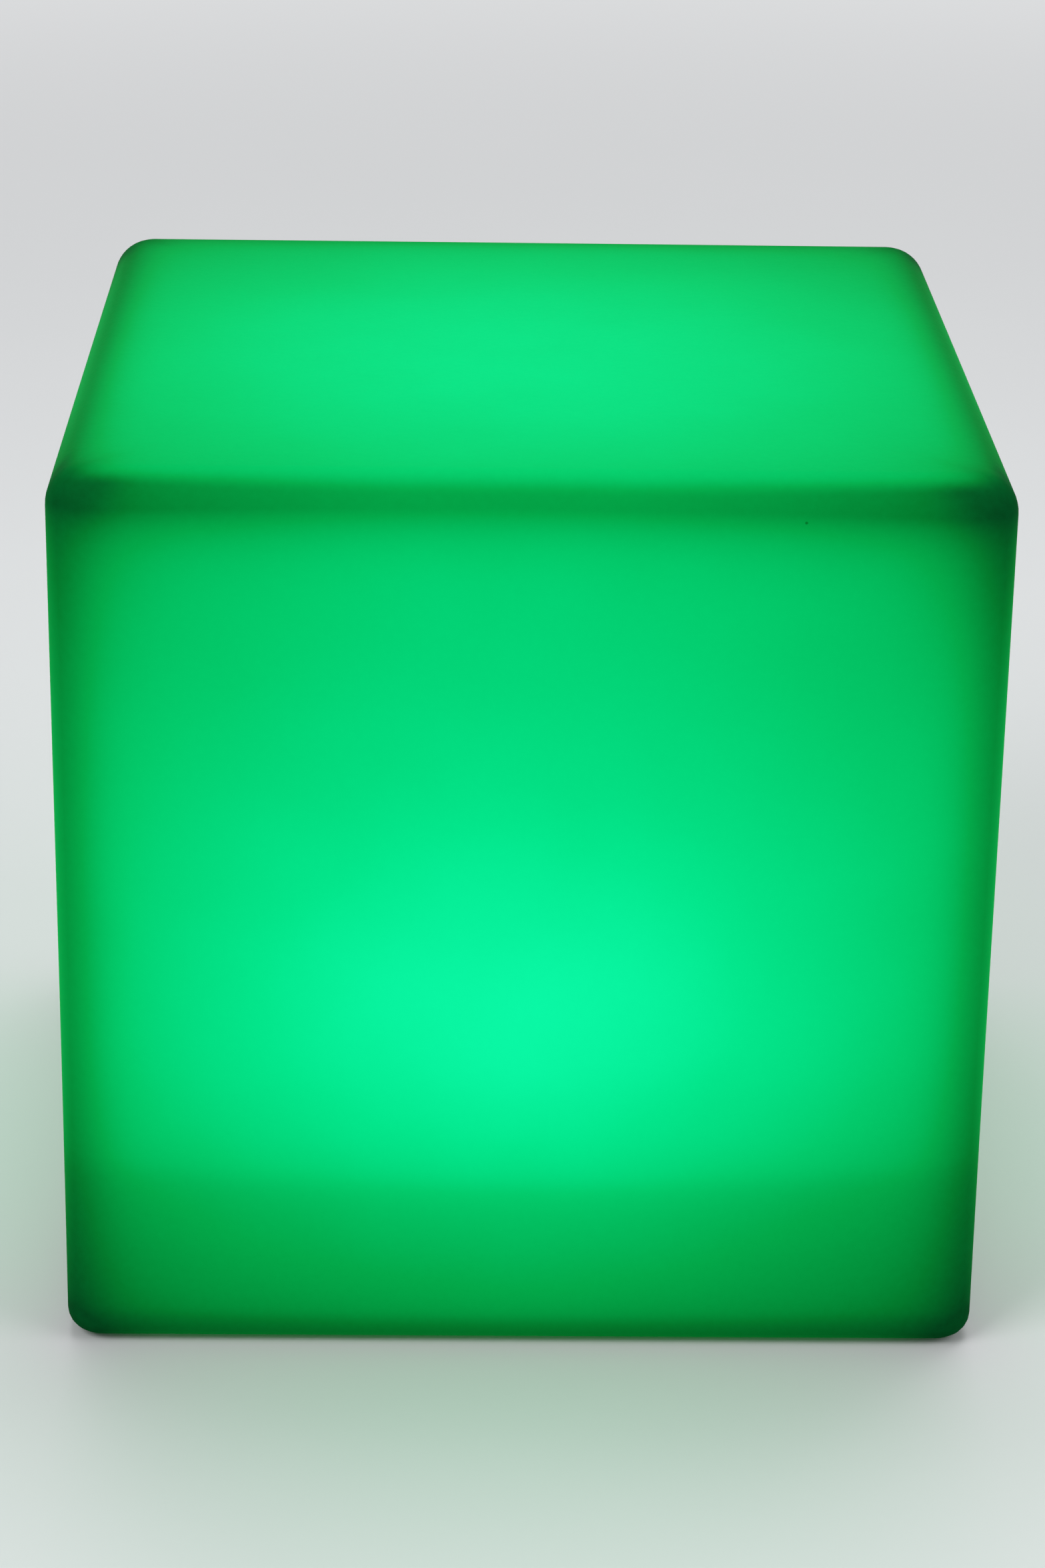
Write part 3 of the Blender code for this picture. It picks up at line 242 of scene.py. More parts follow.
class Nodes:
    """A node tree, with short calls for the nodes used here."""

    def __init__(self, tree):
        self.tree = tree

    def add(self, kind, **settings):
        node = self.tree.nodes.new(kind)
        for name, value in settings.items():
            setattr(node, name, value)
        return node

    def feed(self, socket, value):
        if isinstance(value, Number):
            value = value.socket
        if isinstance(value, bpy.types.NodeSocket):
            self.tree.links.new(value, socket)
        else:
            socket.default_value = value

    def number(self, socket):
        return Number(self, socket)

    def math(self, operation, *values):
        node = self.add("ShaderNodeMath", operation=operation)
        for socket, value in zip(node.inputs, values):
            self.feed(socket, value)
        return self.number(node.outputs[0])

    def either(self, share, first, second):
        """The first shader, or as much of the second one as the share says."""
        node = self.add("ShaderNodeMixShader")
        for socket, value in zip(node.inputs, (share, first, second)):
            self.feed(socket, value)
        return node.outputs[0]

    def sees_backdrop(self, path):
        """1 for the rays that see the backdrop: from the camera, in gloss and through glass."""
        seen = self.number(path["Is Camera Ray"]).at_least(path["Is Glossy Ray"])
        return seen.at_least(path["Is Transmission Ray"])


class Graph(Nodes):
    """A material's node tree."""

    def __init__(self, name):
        self.material = bpy.data.materials.new(name)
        self.material.use_nodes = True
        super().__init__(self.material.node_tree)
        self.shader = self.tree.nodes["Principled BSDF"]
        self.coordinates = self.add("ShaderNodeTexCoord").outputs
        self.place = self.coordinates["Object"]

    def parts(self, vector):
        node = self.add("ShaderNodeSeparateXYZ")
        self.feed(node.inputs[0], vector)
        return [self.number(part) for part in node.outputs]

    def remap(self, value, low, high, new_low=0.0, new_high=1.0, smooth=False):
        node = self.add("ShaderNodeMapRange", interpolation_type="SMOOTHSTEP" if smooth else "LINEAR")
        for socket, given in zip(node.inputs, (value, low, high, new_low, new_high)):
            self.feed(socket, given)
        return self.number(node.outputs[0])

    def over(self, noise, low=0.0, high=1.0):
        """Low where the noise is low, and high where it is high."""
        return self.remap(noise, NOISE_LOW, NOISE_HIGH, low, high)

    def mix(self, share, first, second):
        """A colour between two, each of them a colour or a socket."""
        node = self.add("ShaderNodeMix", data_type="RGBA")
        self.feed(node.inputs[0], share)
        for socket, value in zip(node.inputs[6:8], (first, second)):
            self.feed(socket, value if isinstance(value, bpy.types.NodeSocket) else (*value, 1))
        return node.outputs[2]

    def ramp(self, value, stops):
        """A colour through stops (value, colour)."""
        node = self.add("ShaderNodeValToRGB")
        points = node.color_ramp.elements
        for _ in stops[2:]:
            points.new(0.5)
        for point, (position, color) in zip(points, stops):
            point.position = position
            point.color = (*color, 1)
        self.feed(node.inputs[0], value)
        return node.outputs[0]

    def curve(self, value, points):
        """A smooth curve through points (value, result)."""
        node = self.add("ShaderNodeFloatCurve")
        line = node.mapping.curves[0]
        for _ in points[2:]:
            line.points.new(0.5, 0.5)
        for point, spot in zip(line.points, points):
            point.location = spot
        node.mapping.update()
        self.feed(node.inputs["Value"], value)
        return self.number(node.outputs[0])

    def texture(self, kind, scale, place=None, **settings):
        node = self.add(kind, **settings)
        self.feed(node.inputs["Vector"], self.place if place is None else place)
        self.feed(node.inputs["Scale"], scale)
        return node

    def noise(self, size, detail=3.0, roughness=0.5, stretch=None):
        """Fractal noise whose features are about size metres across."""
        place = self.place if stretch is None else self.stretched(stretch)
        node = self.texture("ShaderNodeTexNoise", 1 / size, place)
        self.feed(node.inputs["Detail"], detail)
        self.feed(node.inputs["Roughness"], roughness)
        return self.number(node.outputs["Fac"])

    def stretched(self, scale, location=(0, 0, 0)):
        node = self.add("ShaderNodeMapping")
        self.feed(node.inputs["Vector"], self.place)
        self.feed(node.inputs["Location"], location)
        self.feed(node.inputs["Scale"], scale)
        return node.outputs["Vector"]

    def first_of(self, color):
        node = self.add("ShaderNodeSeparateColor")
        self.feed(node.inputs[0], color)
        return self.number(node.outputs[0])

    def bump(self, height, depth, under=None):
        node = self.add("ShaderNodeBump")
        self.feed(node.inputs["Height"], height)
        self.feed(node.inputs["Distance"], depth)
        if under is not None:
            self.feed(node.inputs["Normal"], under)
        return node.outputs["Normal"]

    def set(self, **values):
        """Sets the shader's sockets, named with underscores for spaces, and returns the material."""
        for name, value in values.items():
            self.feed(self.shader.inputs[name.replace("_", " ")], value)
        return self.material


def shaded(color, factor):
    return tuple(min(1.0, c * factor) for c in color)


# Finishes

def moulded(name, color, roughness, grain=0.0006, depth=0.00003, variation=0.06):
    """Moulded plastic: an etched grain, faint flow clouds and uneven sheen."""
    g = Graph(name)
    clouds = g.noise(size=0.03, detail=2.0)
    fine = g.noise(size=grain, roughness=0.6)
    body = g.mix(g.over(clouds), shaded(color, 1 - variation), shaded(color, 1 + variation))
    sheen = g.over(fine, roughness - 0.06, roughness + 0.06) + g.over(clouds, -0.03, 0.03)
    return g.set(Base_Color=body, Roughness=sheen, Normal=g.bump(fine, depth))


def rubber(name, color, roughness, depth=0.00004):
    """Moulded rubber: matt, with a fine pebble and paler dust where the noise is high."""
    g = Graph(name)
    pebble = g.noise(size=0.0004, detail=2.0, roughness=0.7)
    dust = g.remap(g.noise(size=0.006, detail=4.0, roughness=0.65), 0.5, 0.75)
    body = g.mix(dust * 0.35, color, shaded(color, 2.2))
    sheen = g.over(pebble, roughness - 0.07, roughness + 0.07)
    return g.set(Base_Color=body, Roughness=sheen, Specular_IOR_Level=0.35, Normal=g.bump(pebble, depth))


def metal(name, color, roughness, centre=None, stretch=(1, 1, 14)):
    """Worked metal: turning rings round centre, or drawn lines along the axes that aren't stretched."""
    g = Graph(name)
    marks = g.noise(size=0.0005, detail=4.0, roughness=0.6, stretch=stretch)
    if centre is not None:
        place = g.stretched((1, 1, 1), tuple(-c for c in centre))
        rings = g.texture("ShaderNodeTexWave", scale=900, place=place,
                          wave_type="RINGS", rings_direction="Z")
        g.feed(rings.inputs["Distortion"], 1.5)
        marks = (marks + rings.outputs["Fac"]) * 0.5
    stain = g.remap(g.noise(size=0.004), 0.35, 0.75)
    body = g.mix(stain, color, shaded(color, 0.86))
    sheen = g.remap(marks, 0.2, 0.8, roughness - 0.07, roughness + 0.07) + stain * 0.06
    return g.set(Base_Color=body, Metallic=1.0, Roughness=sheen, Normal=g.bump(marks, depth=0.00002))


def board(name, color, copper, pitch=0.0032):
    """A printed circuit board: solder mask over a faint relief of tracks and vias."""
    g = Graph(name)
    tracks = g.texture("ShaderNodeTexBrick", scale=1 / pitch)
    g.feed(tracks.inputs["Mortar Size"], 0.06)
    g.feed(tracks.inputs["Mortar Smooth"], 0.3)
    vias = g.texture("ShaderNodeTexVoronoi", scale=1 / (2 * pitch))
    dots = g.remap(vias.outputs["Distance"], 0.08, 0.12, 1.0, 0.0)
    lines = g.mix(tracks.outputs["Fac"], shaded(color, 0.92), shaded(color, 1.25))
    body = g.mix(dots, lines, copper)
    relief = dots + tracks.outputs["Fac"]
    return g.set(Base_Color=body, Roughness=g.over(g.noise(size=0.0008), 0.28, 0.4),
                 Normal=g.bump(relief, depth=0.00003))


def clear(name, color, roughness, transmission, glow=0.0):
    """Clear or milky resin with fine flow lines, and a painted green glow where a lamp would shine
    through it.
    """
    g = Graph(name)
    flow = g.noise(size=0.0015, detail=2.0, stretch=(1, 1, 4))
    if glow:
        # Painted glow: no lamp stands behind the lens
        lit = g.mix(g.over(flow), (0.0, 0.62, 0.22), (0.0, 0.85, 0.30))
        g.set(Emission_Color=lit, Emission_Strength=glow)
    return g.set(Base_Color=g.mix(g.over(flow), shaded(color, 0.94), color), IOR=1.49,
                 Roughness=g.over(flow, roughness - 0.03, roughness + 0.05),
                 Transmission_Weight=transmission, Normal=g.bump(flow, depth=0.00001))


def sleeve(name, color):
    """Heat-shrunk film on a battery cell: glossy, with fine wrinkles that run along it, painted darker
    in their hollows and paler on their crests as shade and light.
    """
    g = Graph(name)
    wrinkles = g.noise(size=0.0022, detail=4.0, roughness=0.6, stretch=(0.3, 1, 1))
    # Painted shade in the wrinkles' hollows and painted light on their crests
    body = g.mix(g.over(wrinkles), shaded(color, 0.85), shaded(color, 1.15))
    return g.set(Base_Color=body, Roughness=g.over(wrinkles, 0.25, 0.4), Coat_Weight=0.5,
                 Normal=g.bump(wrinkles, depth=0.00005))


def foam(name, color):
    """Open foam: cells painted dark with shade, between paler walls."""
    g = Graph(name)
    cells = g.texture("ShaderNodeTexVoronoi", scale=1800, feature="DISTANCE_TO_EDGE")
    inward = g.remap(cells.outputs["Distance"], 0.0, 0.25)
    # Painted shade: darker towards the middle of each cell, paler on its walls
    body = g.mix(inward, shaded(color, 1.5), shaded(color, 0.6))
    return g.set(Base_Color=body, Roughness=g.remap(inward, 0.0, 1.0, 0.85, 1.0),
                 Normal=g.bump(inward, depth=0.0002))


def ribbon(name, color):
    """Flat cable: parallel cores under one skin, painted darker in the grooves between them and paler on
    them, as shade and light.
    """
    g = Graph(name)
    cores = g.texture("ShaderNodeTexWave", scale=130).outputs["Fac"]
    # Painted shade in the grooves and painted light on the cores
    body = g.mix(cores, shaded(color, 0.75), shaded(color, 1.15))
    return g.set(Base_Color=body, Roughness=g.over(g.noise(size=0.001), 0.35, 0.5),
                 Normal=g.bump(cores, depth=0.0002))


def emitter(name, color, glow):
    """A light chip: uneven phosphor, lit green."""
    g = Graph(name)
    grain = g.noise(size=0.0004)
    body = g.mix(g.over(grain), color, shaded(color, 0.85))
    lit = g.mix(g.over(grain), glow, shaded(glow, 0.8))
    return g.set(Base_Color=body, Roughness=g.over(grain, 0.2, 0.35),
                 Emission_Color=lit, Emission_Strength=2.0)


# The lit skin's finish: a painted glow, with painted pools of light and painted shade

def peak(value, width):
    """A bell round zero, 1 high."""
    return ((value / width).squared() * -1.0).exponential()


def band_under_top(g, y, off_middle, from_x, from_y, from_top):
    """The light left in the dark band under the top edge, least near its ends beside the uprights."""
    band = ((from_top / BAND_WIDTH) ** BAND_POWER * -1.0).exponential()
    band = band * (off_middle * BAND_BY_CORNER + 1.0)
    behind = g.remap(y, BAND_FRONT_Y, BAND_BEHIND_Y, 1.0, BAND_BEHIND_SHARE, smooth=True)
    least = (off_middle * BAND_LEAST_BY_CORNER + BAND_LEAST) * behind
    left = g.math("SMOOTH_MAX", 1.0 - band * BAND_DEPTH, least, BAND_SOFTNESS)
    beside_upright = peak(abs(from_x - from_y) - BAND_END_PLACE, BAND_END_WIDTH)
    return left * (1.0 - beside_upright * peak(from_top, BAND_END_DROP) * BAND_END_DEPTH)


def along_uprights(x, z, top_share, from_top, from_upright):
    """The light left along the uprights and in the cube's corners at both their ends."""
    uprights = 1.0 - peak(from_upright, UPRIGHT_WIDTH) * UPRIGHT_DEPTH
    top_end = peak(from_top - TOP_END_DROP, TOP_END_REACH) * (1.0 - top_share * TOP_END_LESS_ON_TOP)
    base_end = (z / -BASE_END_REACH).exponential() * BASE_END_DEPTH
    ends = top_end * (x * TOP_END_DEPTH_BY_X + TOP_END_DEPTH) + base_end
    return uprights * (1.0 - ends * peak(from_upright, END_WIDTH))


def through_plastic(g):
    """The light left by faint clouds and a few dark specks in the plastic."""
    clouds = g.over(g.noise(size=0.06), CLOUD_DIM, CLOUD_BRIGHT)
    specks = g.texture("ShaderNodeTexVoronoi", scale=SPECK_CELLS).outputs
    dot = g.remap(specks["Distance"], SPECK_CORE, SPECK_EDGE, SPECK_DEPTH, 0.0)
    return clouds * (1.0 - dot * (g.first_of(specks["Color"]) > SPECK_RARITY))


def lit_skin():
    """Translucent plastic with a painted glow, in place of the light of a lamp low inside it.

    Brightness is painted by the place on the cube, as light and shade: a painted pool of light 155 mm
    up each side, a softer one on the top, a painted shadow below the height of the lamp's deck, a dark
    band of painted shade under the top edge with darker ends, and edges painted dimmer, where the wall
    is thick and turns away.
    """
    g = Graph("lit_polyethylene_finish")
    x, y, z = g.parts(g.place)
    rise = g.parts(g.coordinates["Normal"])[2]
    upward = rise.at_least(0.0).squared()

    across = (x - POOL_X).squared()
    off_axis = across + y.squared()
    off_middle = (off_axis - HALF * HALF).at_least(0.0)
    from_x = (HALF - abs(x)).at_least(0.0)
    from_y = (HALF - abs(y)).at_least(0.0)
    from_top = (HEIGHT - z).at_least(0.0)
    from_upright = from_x.at_least(from_y)

    level = off_middle * LEVEL_SHARE_BY_CORNER + (x * LEVEL_SHARE_BY_X + LEVEL_SHARE)
    top_share = g.remap(upward, level, 1.0, smooth=True)
    base_share = rise.squared() - upward
    side_share = 1.0 - base_share - top_share

    # Painted shadow below the lamp's deck, and painted pools of light on the sides, the top and the base
    sag = off_middle * g.remap(z, 0.0, SHADOW_SAG_Z, 0.0, -SHADOW_SAG)
    fade = g.remap(z, LOW_FADE_Z, HIGH_FADE_Z, -LOW_FADE, -HIGH_FADE, smooth=True)
    side = g.curve((z + sag) / HEIGHT, GLOW_BY_HEIGHT) * (off_middle * fade).exponential()
    base = g.remap(z, 0.0, CEILING_Z, BASE_GLOW, WELL_GLOW) * (off_axis * -BASE_FADE).exponential()
    off_pool = across * TOP_FADE_X + (y - TOP_POOL_Y).squared() * TOP_FADE_Y
    top = (off_pool * -1.0).exponential() * TOP_GLOW

    top_back = (y > 0.0) * peak(from_y, TOP_BACK_WIDTH) * TOP_BACK_DEPTH
    top_edges = (1.0 - peak(from_x, TOP_SIDE_WIDTH) * TOP_SIDE_DEPTH) * (1.0 - top_back)
    under_top = band_under_top(g, y, off_middle, from_x, from_y, from_top)

    glow = top * top_edges * top_share + side * under_top * side_share + base * base_share
    glow = glow * along_uprights(x, z, top_share, from_top, from_upright) * through_plastic(g)

    peel = g.noise(size=0.0035, roughness=0.55)
    fine = g.noise(size=0.0009, detail=2.0)
    # Painted shade: the plastic's dark green body in place of its white
    body = g.mix(g.over(peel), DARKENED_PLASTIC_DEEP, DARKENED_PLASTIC_PALE)
    return g.set(Base_Color=body, Roughness=g.over(fine, PLASTIC_SMOOTH, PLASTIC_ROUGH),
                 Specular_IOR_Level=PLASTIC_GLOSS,
                 Emission_Color=g.ramp(glow, GLOW_TINTS), Emission_Strength=1.0,
                 Normal=g.bump(peel, depth=0.00008, under=g.bump(fine, depth=0.00002)))


# The fine skin's shape

def outward(turn):
    return Vector((math.cos(turn), math.sin(turn), 0))


def rounded_square(half, corner, z):
    points = []
    for quadrant in range(4):
        start = quadrant * QUARTER_TURN
        middle = outward(start + QUARTER_TURN / 2) * (half - corner) * math.sqrt(2)
        for i in range(CORNER_STEPS + 1):
            round_corner = outward(start + QUARTER_TURN * i / CORNER_STEPS) * corner
            points.append(middle + round_corner + Vector((0, 0, z)))
        run = Vector((-math.sin(start + QUARTER_TURN), math.cos(start + QUARTER_TURN), 0))
        last = points[-1]
        points += [last + run * 2 * (half - corner) * i / FACE_STEPS for i in range(1, FACE_STEPS)]
    return points


def circle(radius, z):
    first = QUARTER_TURN / 2 - math.pi * CORNER_STEPS / SKIN_POINTS
    turns = [first + 2 * math.pi * i / SKIN_POINTS for i in range(SKIN_POINTS)]
    return [Vector((radius * math.cos(t), radius * math.sin(t), z)) for t in turns]


def arc(middle_r, middle_z, radius, start, end, steps):
    turns = [start + (end - start) * i / steps for i in range(steps + 1)]
    return [circle(middle_r + radius * math.cos(t), middle_z + radius * math.sin(t)) for t in turns]


def crowned(p):
    """Pulls a point of the outer skin in far from the middle of its face, and less so near the base."""
    u, v, w = p.x / HALF, p.y / HALF, 2 * p.z / HEIGHT - 1
    raised = max(w, 0)
    side_crown = FACE_CROWN * (1 - min(w, 0)**2)

    def off(a, b):
        return 1 - (1 - a * a) * (1 - b * b)

    return Vector((
        p.x - side_crown * u**FACE_CROWN_POWER * off(v, raised),
        p.y - side_crown * v**FACE_CROWN_POWER * off(u, raised),
        p.z - TOP_CROWN * raised**TOP_CROWN_POWER * off(u, v),
    ))


def skin_rings():
    """From the middle of the top, down the sides, through the well in the base and back inside."""
    rings = []

    def edge(inset, radius, corner, level, way, start, end, steps):
        for i in range(steps + 1):
            turn = start + (end - start) * i / steps
            drawn_in = (radius - inset) * (1 - math.cos(turn))
            rise = way * (radius - inset) * math.sin(turn)
            half = HALF - inset - drawn_in
            rings.append(rounded_square(half, corner - inset - drawn_in, level + rise))

    top_level = HEIGHT - TOP_EDGE
    base_level = BASE_Z + BASE_EDGE
    for i in range(1, TOP_RINGS):
        share = i / TOP_RINGS
        rings.append(rounded_square((HALF - TOP_EDGE) * share, (TOP_CORNER - TOP_EDGE) * share, HEIGHT))
    edge(0, TOP_EDGE, TOP_CORNER, top_level, 1, QUARTER_TURN, 0, TOP_ARC_STEPS)
    for i in range(1, LEVEL_STEPS):
        share = i / LEVEL_STEPS
        corner = TOP_CORNER + (BASE_CORNER - TOP_CORNER) * share
        rings.append(rounded_square(HALF, corner, top_level + (base_level - top_level) * share))
    edge(0, BASE_EDGE, BASE_CORNER, base_level, -1, 0, QUARTER_TURN, ARC_STEPS)
    rings = [[crowned(p) for p in ring] for ring in rings]
    rim_r, rim_level = MOUTH_RADIUS + RIM_RADIUS, BASE_Z + RIM_RADIUS
    corner_r, corner_level = WELL_RADIUS - CORNER_RADIUS, CEILING_Z - CORNER_RADIUS
    rings += arc(rim_r, rim_level, RIM_RADIUS, -QUARTER_TURN, -2 * QUARTER_TURN, ARC_STEPS)
    rings += arc(corner_r, corner_level, CORNER_RADIUS, 0, QUARTER_TURN, ARC_STEPS)
    rings += [circle(HOLE_RADIUS, CEILING_Z), circle(HOLE_RADIUS, CEILING_Z + WALL)]
    rings += arc(corner_r, corner_level, CORNER_RADIUS + WALL, QUARTER_TURN, 0, INNER_ARC_STEPS)
    rings += arc(rim_r, rim_level, RIM_RADIUS - WALL, -2 * QUARTER_TURN, -QUARTER_TURN, INNER_ARC_STEPS)
    edge(WALL, BASE_EDGE, BASE_CORNER, base_level, -1, QUARTER_TURN, 0, INNER_ARC_STEPS)
    edge(WALL, TOP_EDGE, TOP_CORNER, top_level, 1, 0, QUARTER_TURN, INNER_ARC_STEPS)
    return rings


def skinned(name, rings):
    """A closed mesh over the rings, capped at both ends."""
    bm = bmesh.new()
    rows = [[bm.verts.new(p) for p in ring] for ring in rings]
    for low, high in zip(rows, rows[1:]):
        for i in range(len(low)):
            j = (i + 1) % len(low)
            bm.faces.new((low[i], low[j], high[j], high[i]))
    bm.faces.new(rows[0][::-1])
    bm.faces.new(rows[-1])
    bmesh.ops.recalc_face_normals(bm, faces=bm.faces)
    mesh = bpy.data.meshes.new(name)
    bm.to_mesh(mesh)
    bm.free()
    return mesh


def linked(name, data):
    made = bpy.data.objects.new(name, data)
    bpy.context.scene.collection.objects.link(made)
    return made


def make_skin():
    """The shell's finer skin, with the four dimples that the feet sit in."""
    skin = linked("cube_skin", skinned("cube_skin", skin_rings()))
    for sx in (-1, 1):
        for sy in (-1, 1):
            rows = [[p + Vector((sx * FOOT_X, sy * FOOT_Y, 0)) for p in circle(DIMPLE_RADIUS, z)]
                    for z in (-CUT_OVERRUN, DIMPLE_TOP)]
            cutter = linked("foot_dimple", skinned("foot_dimple", rows))
            step = skin.modifiers.new("foot_dimple", "BOOLEAN")
            step.operation = "DIFFERENCE"
            step.object = cutter
    made = bpy.data.meshes.new_from_object(skin.evaluated_get(bpy.context.evaluated_depsgraph_get()))
    for step in list(skin.modifiers):
        cutter = step.object
        skin.modifiers.remove(step)
        bpy.data.objects.remove(cutter)
    skin.data = made
    made.shade_smooth()
    made.set_sharp_from_angle(angle=SKIN_SHARP_ANGLE)
    made.materials.clear()
    made.materials.append(lit_skin())
    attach(skin, "root")
    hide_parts("shell")


# Finishes for the CAD solids that stay

def dress(names, material, edge=0.0):
    """Gives the solids their material and smooth round faces, and breaks their sharp edges a little."""
    for name in names:
        piece = nodes[name]
        mesh = piece.data
        mesh.materials.clear()
        mesh.materials.append(material)
        mesh.attributes.remove(mesh.attributes["custom_normal"])
        mesh.shade_smooth()
        weld = piece.modifiers.new("weld", "WELD")
        weld.merge_threshold = WELD_DISTANCE
        if edge:
            bevel = piece.modifiers.new("edge", "BEVEL")
            bevel.width = edge
            bevel.segments = 2
            bevel.limit_method = "ANGLE"
            bevel.angle_limit = SOLID_SHARP_ANGLE
            bevel.harden_normals = True
        else:
            split = piece.modifiers.new("edge", "EDGE_SPLIT")
            split.split_angle = SOLID_SHARP_ANGLE
            split.use_edge_sharp = False


def centre_of(name):
    low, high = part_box(name)
    return (low + high) / 2


def numbered(stem, count):
    return [f"{stem}_{i}" for i in range(1, count + 1)]


def dress_fixings():
    """Feet, inserts, screws, the hinge pin and the jack's nut."""
    bumper = clear("bumper_finish", (0.80, 0.86, 0.83), roughness=0.12, transmission=0.85)
    dress(numbered("foot", 4), bumper)
    dress(numbered("thread_insert", 6), metal("brass_finish", (0.72, 0.50, 0.20), roughness=0.32))
    for name in numbered("module_screw", 6) + numbered("cover_screw", 4):
        turned = metal(f"{name}_finish", (0.62, 0.63, 0.64), roughness=0.30, centre=centre_of(name))
        dress([name], turned, edge=0.0002)
    small = numbered("led_board_screw", 3) + numbered("control_board_screw", 2)
    dress(small, metal("board_screw_finish", (0.60, 0.60, 0.60), roughness=0.32))
    nickel = metal("nickel_finish", (0.66, 0.65, 0.61), roughness=0.26, stretch=(14, 1, 1))
    dress(["jack_nut", "port_hinge_pin"], nickel)


def dress_module():
    """The module's housing, cover, seals and what is reached from below."""
    dress(["module_housing"], moulded("housing_finish", (0.60, 0.61, 0.60), roughness=0.42))
    cover = moulded("cover_finish", (0.52, 0.53, 0.52), roughness=0.46, grain=0.0005, depth=0.00004)
    dress(["service_cover"], cover)
    dress(["shell_gasket", "cover_seal"], rubber("gasket_finish", (0.045, 0.045, 0.050), roughness=0.7))
    dress(["dome_seal"], rubber("silicone_finish", (0.48, 0.48, 0.46), roughness=0.45))
    dome = moulded("dome_finish", (0.78, 0.80, 0.78), roughness=0.5,
                   grain=0.0008, depth=0.00005, variation=0.03)
    dress(["diffuser_dome"], dome)
    button = rubber("button_finish", (0.060, 0.064, 0.070), roughness=0.62, depth=0.00006)
    dress(["power_button"], button, edge=0.0003)
    dress(["port_cover"], rubber("flap_finish", (0.035, 0.035, 0.038), roughness=0.66), edge=0.0002)
    jack = moulded("jack_finish", (0.030, 0.030, 0.033), roughness=0.40, grain=0.0004)
    dress(["dc_jack"], jack, edge=0.0002)
    lens = clear("lens_finish", (0.72, 0.76, 0.73), roughness=0.10, transmission=0.9, glow=0.9)
    dress(["indicator_lens"], lens)


def dress_electronics():
    """Boards, chips, the switch, cells and leads."""
    dress(["led_board"], board("led_board_finish", (0.72, 0.73, 0.71), copper=(0.60, 0.58, 0.50)))
    green_board = board("control_board_finish", (0.020, 0.16, 0.07), copper=(0.45, 0.36, 0.16))
    dress(["control_board"], green_board)
    dress(numbered("led", 8), emitter("led_chip_finish", (0.78, 0.76, 0.55), glow=(0.0, 1.0, 0.35)))
    receiver = moulded("receiver_finish", (0.028, 0.028, 0.032), roughness=0.16, depth=0.00001)
    dress(["ir_receiver"], receiver)
    dress(["driver_chip"], moulded("chip_finish", (0.028, 0.028, 0.030), roughness=0.62, grain=0.0003))
    dress(["button_switch"], metal("switch_finish", (0.55, 0.55, 0.56), roughness=0.35))
    dress(["battery_cradle"], moulded("cradle_finish", (0.060, 0.060, 0.066), roughness=0.55))
    dress(numbered("battery_cell", 2), sleeve("cell_finish", (0.06, 0.20, 0.44)))
    strip = metal("strip_finish", (0.68, 0.67, 0.63), roughness=0.28, stretch=(1, 14, 1))
    dress(numbered("contact_strip", 2), strip)
    dress(["foam_pad"], foam("foam_finish", (0.10, 0.10, 0.11)))
    for tint, color in (("red", (0.50, 0.025, 0.02)), ("black", (0.025, 0.025, 0.025))):
        lead = rubber(f"lead_{tint}_finish", color, roughness=0.4, depth=0.00001)
        dress([f"battery_lead_{tint}"], lead)
    dress(["led_ribbon"], ribbon("ribbon_finish", (0.30, 0.31, 0.32)))


# Floor, lamps and camera

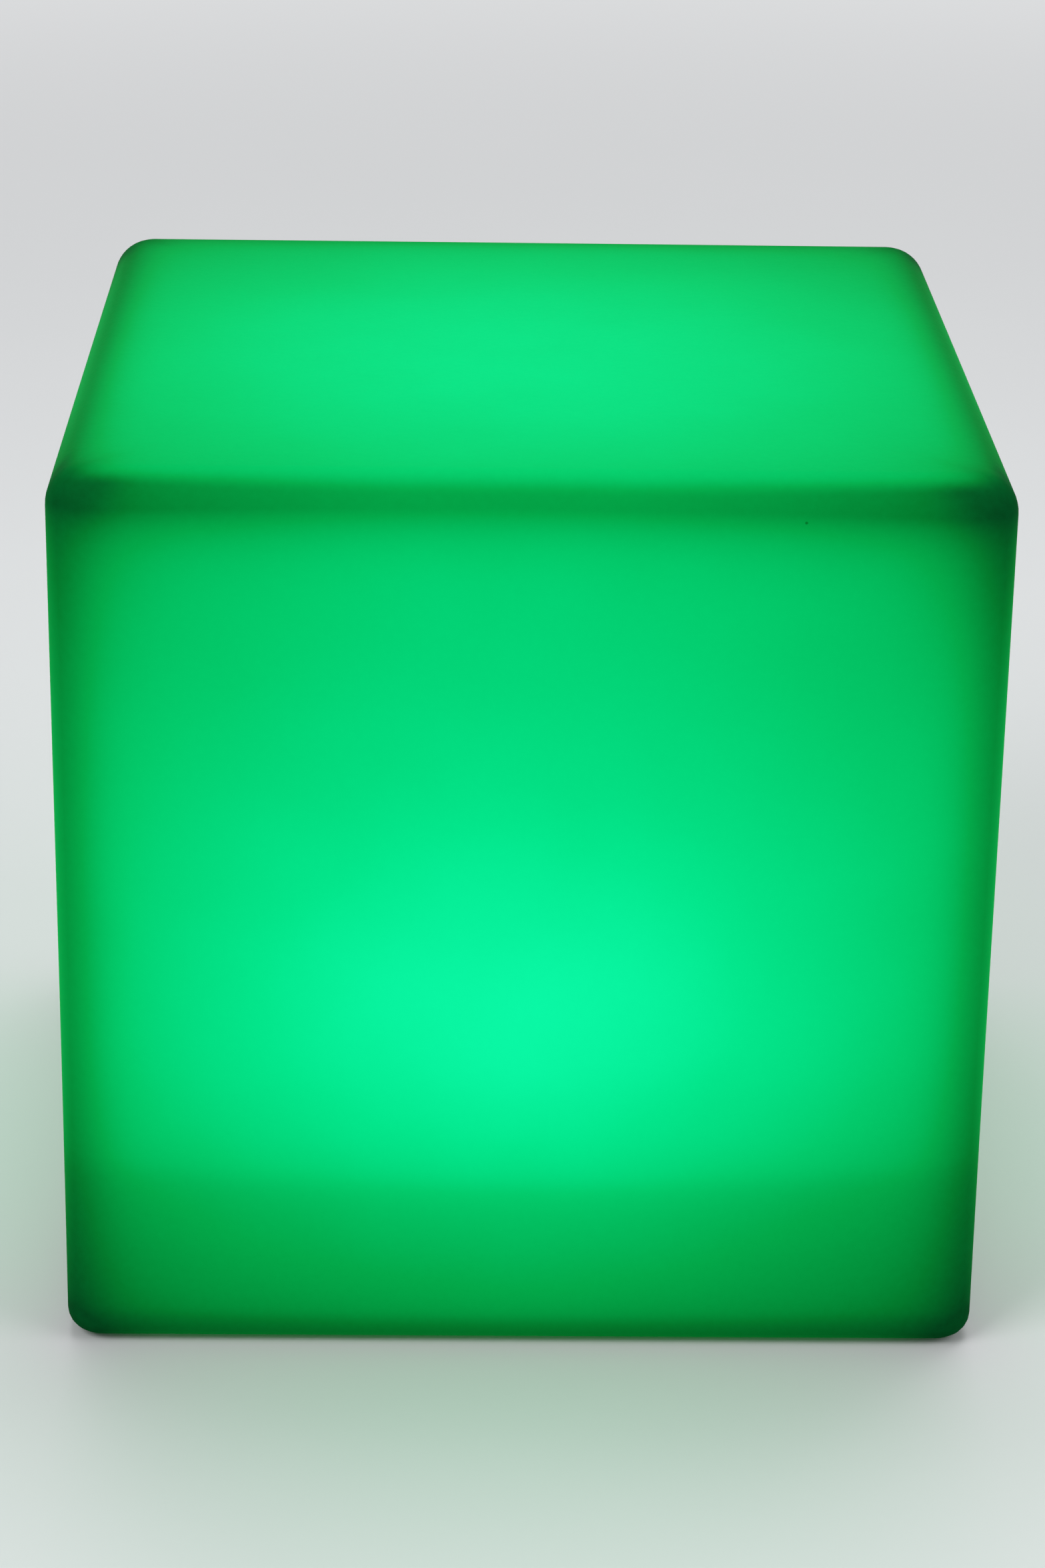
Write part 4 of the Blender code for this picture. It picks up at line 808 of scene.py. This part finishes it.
def make_floor():
    """A wide pale floor that turns into the backdrop far away.

    It is see-through from below and lets light up to the cube's base, so that the base shows from there.
    """
    bm = bmesh.new()
    corners = ((-1, -1), (1, -1), (1, 1), (-1, 1))
    bm.faces.new([bm.verts.new((x * FLOOR_REACH, y * FLOOR_REACH, 0)) for x, y in corners])
    mesh = bpy.data.meshes.new("studio_floor")
    bm.to_mesh(mesh)
    bm.free()
    floor = linked("studio_floor", mesh)

    g = Graph("studio_floor_finish")
    tone = g.noise(size=0.35, detail=4.0)
    g.set(Base_Color=g.mix(g.over(tone), shaded(FLOOR, 0.99), shaded(FLOOR, 1.01)),
          Roughness=g.over(tone, 0.55, 0.62), Specular_IOR_Level=0.3)
    far = g.add("ShaderNodeEmission")
    g.feed(far.inputs["Color"], (*BACKDROP, 1))
    reach = g.add("ShaderNodeVectorMath", operation="LENGTH")
    g.feed(reach.inputs[0], g.place)
    path = g.add("ShaderNodeLightPath").outputs
    fade = g.remap(reach.outputs["Value"], FADE_START, FADE_END, smooth=True) * g.sees_backdrop(path)
    near_or_far = g.either(fade, g.shader.outputs[0], far.outputs[0])
    x, y, _ = g.parts(g.place)
    under_cube = (abs(x).at_least(abs(y)) < HALF - BASE_EDGE) * (1.0 - g.number(path["Is Camera Ray"]))
    hidden = under_cube.at_least(g.add("ShaderNodeNewGeometry").outputs["Backfacing"])
    see_through = g.add("ShaderNodeBsdfTransparent").outputs[0]
    surface = g.tree.nodes["Material Output"].inputs["Surface"]
    g.feed(surface, g.either(hidden, near_or_far, see_through))
    mesh.materials.append(g.material)


def make_world():
    """Even white light, and the backdrop's colour where it is seen."""
    world = bpy.data.worlds.new("studio")
    bpy.context.scene.world = world
    world.use_nodes = True
    g = Nodes(world.node_tree)
    light = g.tree.nodes["Background"]
    g.feed(light.inputs["Color"], (1, 1, 1, 1))
    g.feed(light.inputs["Strength"], WORLD_LIGHT)
    shown = g.add("ShaderNodeBackground")
    g.feed(shown.inputs["Color"], (*BACKDROP, 1))
    seen = g.sees_backdrop(g.add("ShaderNodeLightPath").outputs)
    surface = g.tree.nodes["World Output"].inputs["Surface"]
    g.feed(surface, g.either(seen, light.outputs[0], shown.outputs[0]))


def make_lamps():
    for name, place, aim, size, power in LAMPS:
        data = bpy.data.lights.new(name, "AREA")
        data.shape = "RECTANGLE"
        data.size, data.size_y = size
        data.energy = power
        lamp = linked(name, data)
        lamp.location = place
        lamp.rotation_mode = "QUATERNION"
        lamp.rotation_quaternion = (Vector(aim) - Vector(place)).to_track_quat("-Z", "Y")


def make_camera():
    """Where the photograph was taken from."""
    ahead = Vector((
        math.sin(CAMERA_YAW) * math.cos(CAMERA_PITCH),
        math.cos(CAMERA_YAW) * math.cos(CAMERA_PITCH),
        -math.sin(CAMERA_PITCH),
    ))
    level = Vector((math.cos(CAMERA_YAW), -math.sin(CAMERA_YAW), 0))
    up = level.cross(ahead)
    right = math.cos(CAMERA_ROLL) * level + math.sin(CAMERA_ROLL) * up
    above = right.cross(ahead)
    data = bpy.data.cameras.new("photo_camera")
    data.sensor_width = CAMERA_SENSOR
    data.lens = CAMERA_LENS
    data.clip_start = 0.05
    data.clip_end = 100
    camera = linked("photo_camera", data)
    turned = Matrix((right, above, -ahead)).transposed().to_4x4()
    camera.matrix_world = Matrix.Translation(CAMERA_PLACE) @ turned
    bpy.context.scene.camera = camera


make_camera()
make_skin()
dress_fixings()
dress_module()
dress_electronics()
make_floor()
make_world()
make_lamps()
bpy.context.scene.view_settings.view_transform = "Standard"
